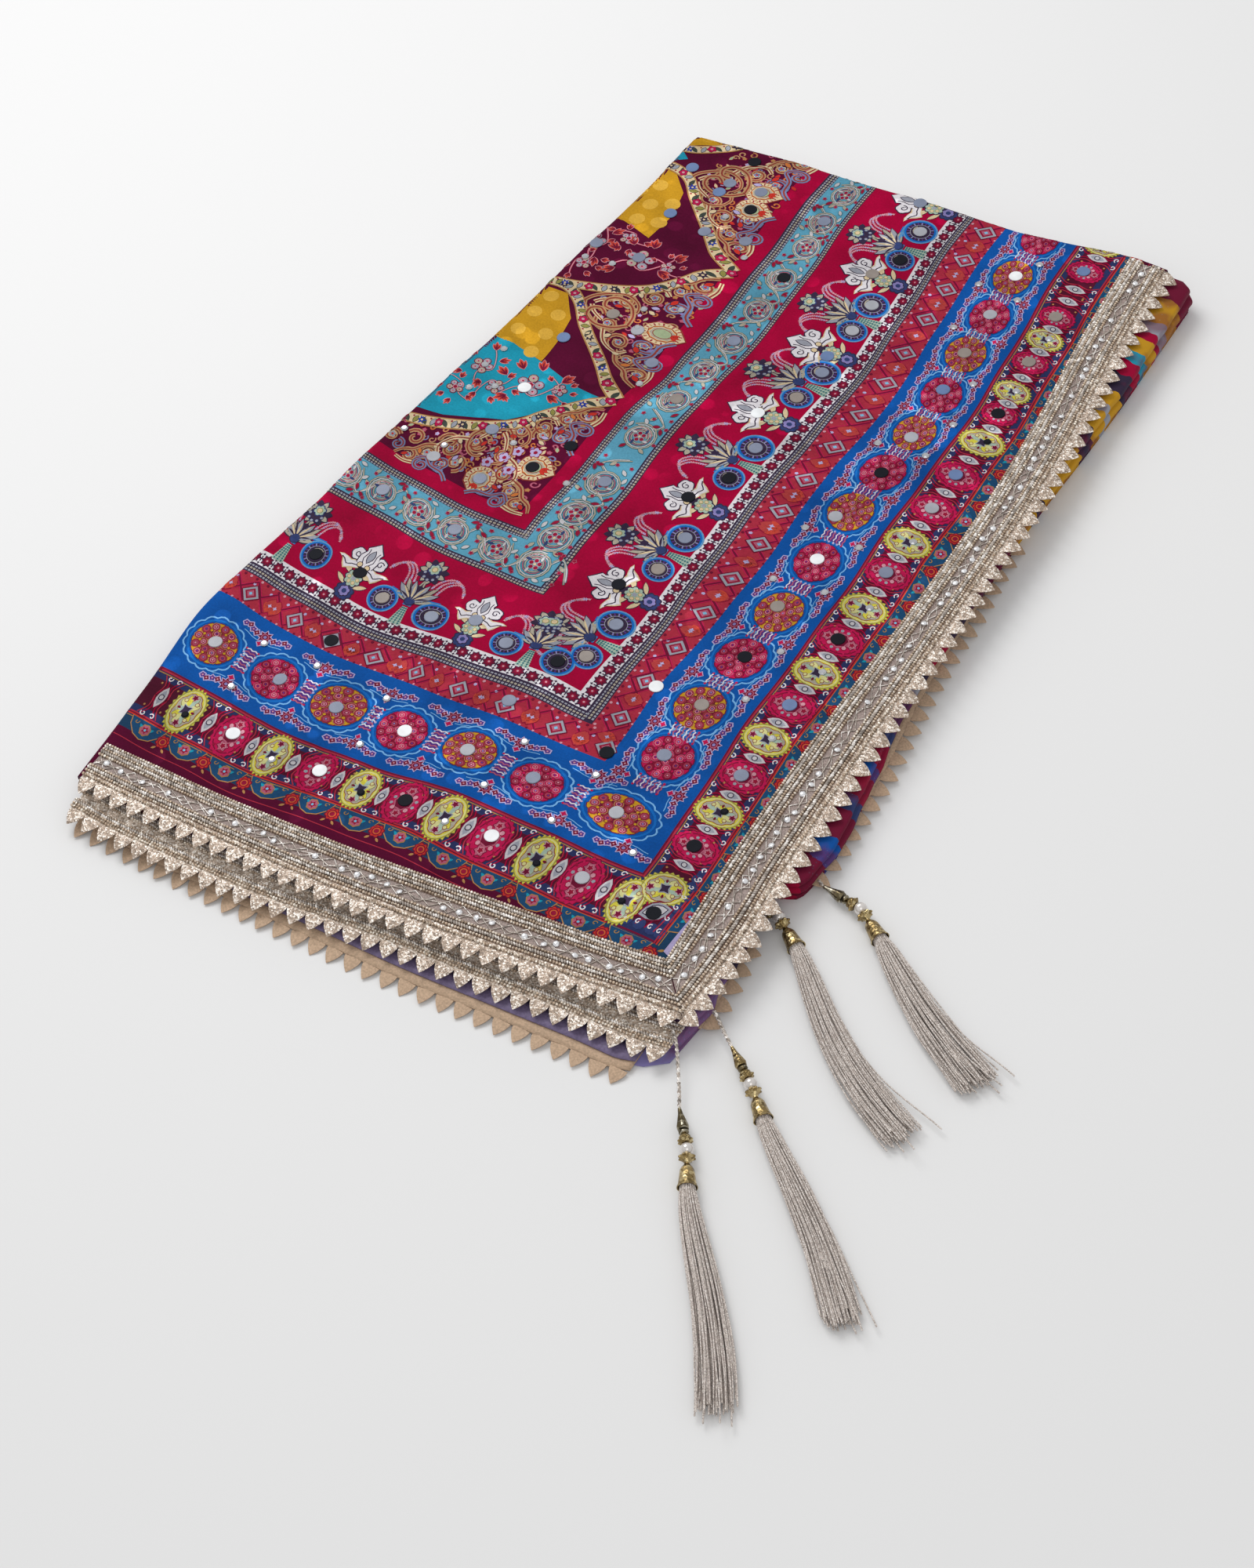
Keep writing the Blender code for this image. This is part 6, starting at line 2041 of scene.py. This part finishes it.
# The second lace uses the painted-lighter lace finish to offset the shadow of the teeth above.
secondLace = beadedBand("second_gilt_lace", secondBand, seed=8, zigzag=False)
secondRoot = toothBand(177.0, -184.5, 80, secondTips, "x", level(7.95), 8.7)
secondTeeth = toothRow("second_gilt_teeth", secondRoot, 0, 0.75, droopTooth, giltTooth, 9)
thirdBand = Band(spread(164.0, -180.0, 90), tipLine(thirdTips, 23.6), tipLine(thirdTips, 8.8), level(1.7))
flatSections = ((0.0, 0.9, 0), (0.3, 0.95, 0), (0.62, 0.9, 0), (0.68, 1.0, 0), (0.74, 0.9, 0),
                (1.0, 0.85, 0))
thirdLace = bandGround("third_lace_reverse", thirdBand, flatSections, 0.8, (tanReverse,))
thirdRoot = toothBand(164.0, -180.0, 80, thirdTips, "x", level(1.7), 8.7)
thirdTeeth = toothRow("third_tan_teeth", thirdRoot, 0, 0.75, flatTooth, tanReverse, 10)
lowerBand = Band(spread(164.0, -180.0, 90), tipLine(thirdTips, 23.6), tipLine(thirdTips, 14.0), level(3.05))
lowerSections = ((0.0, 1.0, 0), (0.35, 1.05, 0), (0.7, 0.95, 0), (1.0, 0.8, 0))
lowerCloth = bandGround("lower_cloth_reverse", lowerBand, lowerSections, 0.8, (lilacReverse,))


def sideTeeth(name, tips, start, end, seed):
    def root(y):
        return readTable(tips, y) - 8.7, y

    def back(y):
        return min(readTable(tips, y) - 10.2, readTable(printedFold, y) - 4.8), y
    strip = Band(spread(start, end, 60), back, root, level(3.95))
    sections = ((0.0, 0.7, 0), (0.5, 0.75, 0), (1.0, 0.7, 0))
    ground = bandGround(name, strip, sections, 0.6, (tanReverse,))
    row = toothRow(name + "_row", strip, 1.0, 0.65, flatTooth, tanReverse, seed)
    return joined(name, [ground, row])


lowerTeeth = sideTeeth("lower_tan_teeth", lowerTips, 93.0, -168.0, 11)
cornerTeeth = sideTeeth("corner_tan_teeth", cornerTips, -214.0, -271.0, 12)
print("lower edges made")

# Tassels: heading of the beads and of the bell, bell mouth, skirt end, its width and its bow.
tassels = (
    ("1", -50.7, -59.0, 224.3, -353.5, 296.5, -449.5, 24.0, 4.0),
    ("2", -37.5, -43.5, 237.3, -303.1, 325.5, -382.5, 22.0, 4.0),
    ("3", -14.0, -36.0, 201.4, -206.6, 302.5, -280.5, 24.0, -8.0),
    ("4", -9.0, -34.5, 236.0, -182.4, 321.0, -237.0, 27.5, -3.5),
)
tassel = {
    "skirtHead": 3.9,
    "strands": 84,
    "strandRadius": 0.42,
    "coneTip": 24.3,
}
# Turned profiles: distance from the pearl's middle toward the pack, radius.
bellProfile = ((-9.4, 0), (-9.4, 1.5), (-9.9, 2.4), (-10.6, 3.0), (-12.0, 3.6), (-15.0, 3.95),
               (-18.6, 4.35),
               (-20.3, 4.75), (-20.6, 4.7), (-20.9, 5.0), (-21.5, 5.15), (-21.6, 4.7), (-18.0, 4.0),
               (-17.0, 0))
lowerCapProfile = ((-3.3, 0), (-3.3, 2.2), (-3.7, 3.7), (-4.5, 4.55), (-5.0, 4.5), (-5.3, 3.7), (-5.9, 3.0),
                   (-6.6, 2.2), (-7.4, 1.5), (-8.0, 1.3), (-8.6, 1.6), (-9.1, 1.8), (-9.1, 0))
upperCapProfile = ((8.3, 0), (8.3, 1.4), (7.8, 2.4), (7.0, 2.9), (6.4, 2.6), (5.8, 3.2), (5.0, 4.1),
                   (4.6, 4.15), (4.1, 3.5), (3.4, 2.6), (3.4, 0))
spacerProfile = ((11.0, 0), (11.0, 1.3), (10.7, 2.1), (10.1, 2.55), (9.5, 2.55), (8.9, 2.1), (8.6, 1.4),
                 (8.6, 0))
coneProfile = ((24.0, 0), (24.0, 0.8), (23.0, 1.0), (20.5, 1.35), (16.5, 2.4), (13.4, 3.2), (12.8, 3.3),
               (12.2, 2.9), (11.3, 2.7), (11.3, 0))

antiqueGold = giltFinish("antique_gold", (0.34, 0.24, 0.1), (0.62, 0.5, 0.27), 0.26, 0.9, 600.0)
darkBrass = giltFinish("dark_brass", (0.2, 0.16, 0.09), (0.45, 0.42, 0.33), 0.3, 1.0, 400.0)
pearlFinish = plainFinish("pearl", (0.74, 0.7, 0.67), 0.14, 0.45, 120.0, 0.08, 0.00005,
                          Coat_Weight=0.6, Coat_Roughness=0.05)
skirtThread = giltFinish("skirt_thread", (0.7, 0.61, 0.55), (0.93, 0.87, 0.82), 0.45, 0.2, 2400.0)


def headingOf(degrees):
    return Vector((math.cos(math.radians(degrees)), math.sin(math.radians(degrees)), 0))


def turnedOn(name, profile, centre, degrees, finish, steps=32, lobes=0, lobeDepth=0.0, lobeRange=None):
    back = -headingOf(degrees)
    side = Vector((0, 0, 1)).cross(back)
    up = back.cross(side)
    points, faces = [], []
    for k in range(steps):
        angle = 2 * math.pi * k / steps
        for at, radius in profile:
            if lobes and lobeRange[0] <= at <= lobeRange[1]:
                radius = radius * (1 - lobeDepth * (0.5 + 0.5 * math.cos(lobes * angle)))
            spot = centre + back * at + (side * math.cos(angle) + up * math.sin(angle)) * radius
            points.append(spot)
    count = len(profile)
    for k in range(steps):
        m = (k + 1) % steps
        for j in range(count - 1):
            faces.append((k * count + j, m * count + j, m * count + j + 1, k * count + j + 1))
    obj = meshFrom(name, points, faces, finish)
    body = bmesh.new()
    body.from_mesh(obj.data)
    bmesh.ops.remove_doubles(body, verts=body.verts, dist=0.000005)
    bmesh.ops.recalc_face_normals(body, faces=body.faces)
    body.to_mesh(obj.data)
    body.free()
    obj.data.shade_smooth()
    obj.data.set_sharp_from_angle(angle=math.radians(50))
    return obj


def skirtRoute(row):
    bellHeading, mx, my, ex, ey, width, bow = row[2:]
    mouth = Vector((mx, my, pack["axisHeight"]))
    end = Vector((ex, ey, pack["axisHeight"]))
    length = (end - mouth).length
    along = (end - mouth).normalized()
    left = Vector((-along.y, along.x, 0))
    first = headingOf(bellHeading)

    def centre(s):
        if s <= 0:
            return mouth + first * s
        share = s / length
        straight = mouth + along * s + (first - along) * s * (1 - share) ** 3
        return straight + left * bow * math.sin(math.pi * share) * share ** 0.3

    def place(s, a, b):
        grow = min(1.0, max(0.0, (s - 1.5) / length)) ** 0.6
        half = tassel["skirtHead"] * (1 - grow) + (width / 2 - 0.6) * grow
        tall = tassel["skirtHead"] * (1 - grow) + 3.3 * grow
        direction = (centre(s + 2.0) - centre(s - 2.0)).normalized()
        side = Vector((-direction.y, direction.x, 0))
        flat = centre(s) + side * (a * half)
        return Vector((flat.x, flat.y, pack["axisHeight"] - 1.2 * grow + b * tall))

    return place, length


def buildSkirt(row, seed):
    place, length = skirtRoute(row)
    draw = random.Random(40 + seed)
    routes = []
    count = tassel["strands"]
    for k in range(count):
        # Strands fill the round head evenly by a sunflower spiral.
        radius = math.sqrt((k + 0.5) / count) * 0.93
        angle = k * 2.39996
        a, b = radius * math.cos(angle), radius * math.sin(angle)
        reach = length * draw.uniform(0.93, 1.0)
        loose = k % 27 == 20  # a few threads have come free
        if loose:
            reach = length * draw.uniform(1.02, 1.07)
        phase, beat = draw.uniform(0, 6.3), draw.uniform(0.09, 0.16)
        drift = draw.uniform(-0.1, 0.1)
        route = []
        for j in range(23):
            s = -3.0 + (reach + 3.0) * j / 22
            share = max(0.0, s / length)
            da = a + drift * share + 0.035 * share * math.sin(phase + beat * s)
            db = b + 0.05 * share * math.sin(phase * 1.7 + beat * 1.3 * s)
            size = math.hypot(da, db)
            if loose:
                da += (0.25 + 0.5 * math.sin(phase)) * share ** 2
            elif size > 0.97:
                da, db = da * 0.97 / size, db * 0.97 / size
            spot = place(s, da, db)
            route.append((spot.x, spot.y, max(spot.z, 0.8)))
        routes.append(route)
    return tubes(f"thread_skirt_{row[0]}", routes, tassel["strandRadius"], skirtThread)


def buildTassel(row, number):
    name, beadHeading, bellHeading, mx, my = row[:5]
    mouth = Vector((mx, my, pack["axisHeight"]))
    pearl = mouth - headingOf(bellHeading) * 21.5
    made = {}
    made["bell"] = turnedOn(f"gold_bell_{name}", bellProfile, pearl, bellHeading, antiqueGold)
    made["lower_cap"] = turnedOn(f"leaf_cap_lower_{name}", lowerCapProfile, pearl, bellHeading,
                                 antiqueGold, 48, 8, 0.22, (-6.2, -3.6))
    made["upper_cap"] = turnedOn(f"leaf_cap_upper_{name}", upperCapProfile, pearl, beadHeading,
                                 antiqueGold, 48, 8, 0.22, (3.9, 6.0))
    made["spacer"] = turnedOn(f"spacer_bead_{name}", spacerProfile, pearl, beadHeading, darkBrass, 24)
    made["cone"] = turnedOn(f"thread_cone_{name}", coneProfile, pearl, beadHeading,
                            darkBrass if name != "2" else antiqueGold, 24, 6, 0.12, (12.5, 22.0))
    ball = smallBall(f"pearl_bead_{name}", (7.0, 7.0, 7.0), 24, 16)
    ball.data.transform(Matrix.Translation(pearl * mm))
    ball.data.materials.append(pearlFinish)
    made["pearl"] = ball
    made["skirt"] = buildSkirt(row, number)
    for part, obj in made.items():
        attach(obj, "root")
        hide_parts(f"tassel_{name}_{part}")
    return pearl - headingOf(beadHeading) * tassel["coneTip"]


coneTips = [buildTassel(row, number) for number, row in enumerate(tassels)]
print("tassels made")

# Thread cords from the pack to the cones, as two twisted strands each.
cords = {
    "cord_1": ((173.0, -281.0, 10.9), (179.0, -287.0, 11.0), (185.5, -296.5, 8.4), (192.5, -307.5, 6.2)),
    "cord_2": ((185.6, -261.4, 9.4), (190.5, -265.0, 8.6), (197.0, -269.8, 6.6)),
    "cord_4": ((190.9, -164.9, 6.6),),
}


def cordRoute(name, end, count):
    rows = [Vector(p) for p in cords[name]] + [end]
    tables = [[(k, rows[k][axis]) for k in range(len(rows))] for axis in range(3)]
    return [Vector([readTable(table, (len(rows) - 1) * k / count) for table in tables])
            for k in range(count + 1)]


def buildCord(name, end):
    centre = cordRoute(name, end, 60)
    length = sum((b - a).length for a, b in zip(centre, centre[1:]))
    strands = []
    for start in (0.0, math.pi):
        route, run = [], 0.0
        for k, spot in enumerate(centre):
            ahead = (centre[min(k + 1, 60)] - centre[max(k - 1, 0)]).normalized()
            side = ahead.cross(Vector((0, 0, 1))).normalized()
            up = side.cross(ahead)
            if k:
                run += (spot - centre[k - 1]).length
            turn = start + run * 2 * math.pi / 5.0
            route.append(spot + (side * math.cos(turn) + up * math.sin(turn)) * 0.52)
        strands.append(route)
    obj = tubes("twisted_" + name, strands, 0.55, giltThread)
    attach(obj, "root")
    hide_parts(name)
    return obj, centre, length


cordOne, cordCentre, cordLength = buildCord("cord_1", coneTips[0])
buildCord("cord_2", coneTips[1])
buildCord("cord_4", coneTips[3])
print("cords laid")

for shape in (beadShape, ropeShape, sequinShape, goldTooth, droopTooth, flatTooth):
    bpy.data.objects.remove(shape, do_unlink=True)

stands = (
    (topCloth, "top_panel", "satin"),
    (foldedPlies, "hidden_layers", "plies"),
    (laceLong, "lace_long", "gilt_lace"),
    (laceShort, "lace_short", "gilt_lace"),
    (teethLong, "teeth_long", "gilt_lace"),
    (teethShort, "teeth_short", "gilt_lace"),
    (secondLace, "second_lace", "gilt_lace"),
    (secondTeeth, "second_teeth", "gilt_lace"),
    (thirdLace, "third_lace", "lace_reverse"),
    (thirdTeeth, "third_teeth", "lace_reverse"),
    (lowerCloth, "lower_cloth", "cloth_reverse"),
    (lowerTeeth, "lower_teeth", "lace_reverse"),
    (cornerTeeth, "corner_teeth", "lace_reverse"),
)
for obj, node, finish in stands:
    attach(obj, "root")
    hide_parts(node)

# Pale floor and soft studio light.
studio = {
    "floor": (0.8, 0.8, 0.8, 1.0),
    "floorSize": 12.0,
    "sky": 0.6,
    "keyPower": 16.5,
    "keySize": 1.1,
    "keyPlace": (-0.9, 0.35, 1.5),
    "fillPower": 4.0,
    "fillPlace": (0.9, -1.0, 1.6),
}


def setStudio():
    half = studio["floorSize"] / 2
    look = Finish("floor")
    finish = look.set(Base_Color=studio["floor"], Roughness=0.9, Specular_IOR_Level=0.1)
    corners = ((-half, -half, 0), (half, -half, 0), (half, half, 0), (-half, half, 0))
    floor = meshFrom("floor", corners, [(0, 1, 2, 3)], finish, smooth=False, scale=1.0)
    sky = bpy.data.worlds.new("sky")
    sky.use_nodes = True
    ground = sky.node_tree.nodes["Background"]
    ground.inputs["Color"].default_value = (1.0, 1.0, 1.0, 1.0)
    ground.inputs["Strength"].default_value = studio["sky"]
    scene.world = sky
    scene.view_settings.view_transform = "Standard"
    for name, power, place in (("key", studio["keyPower"], studio["keyPlace"]),
                               ("fill", studio["fillPower"], studio["fillPlace"])):
        data = bpy.data.lights.new(name, "AREA")
        data.energy = power
        data.size = studio["keySize"]
        lamp = bpy.data.objects.new(name, data)
        lamp.location = place
        lamp.rotation_euler = (-Vector(place)).to_track_quat("-Z", "Y").to_euler()
        scene.collection.objects.link(lamp)


setStudio()
print("studio set")
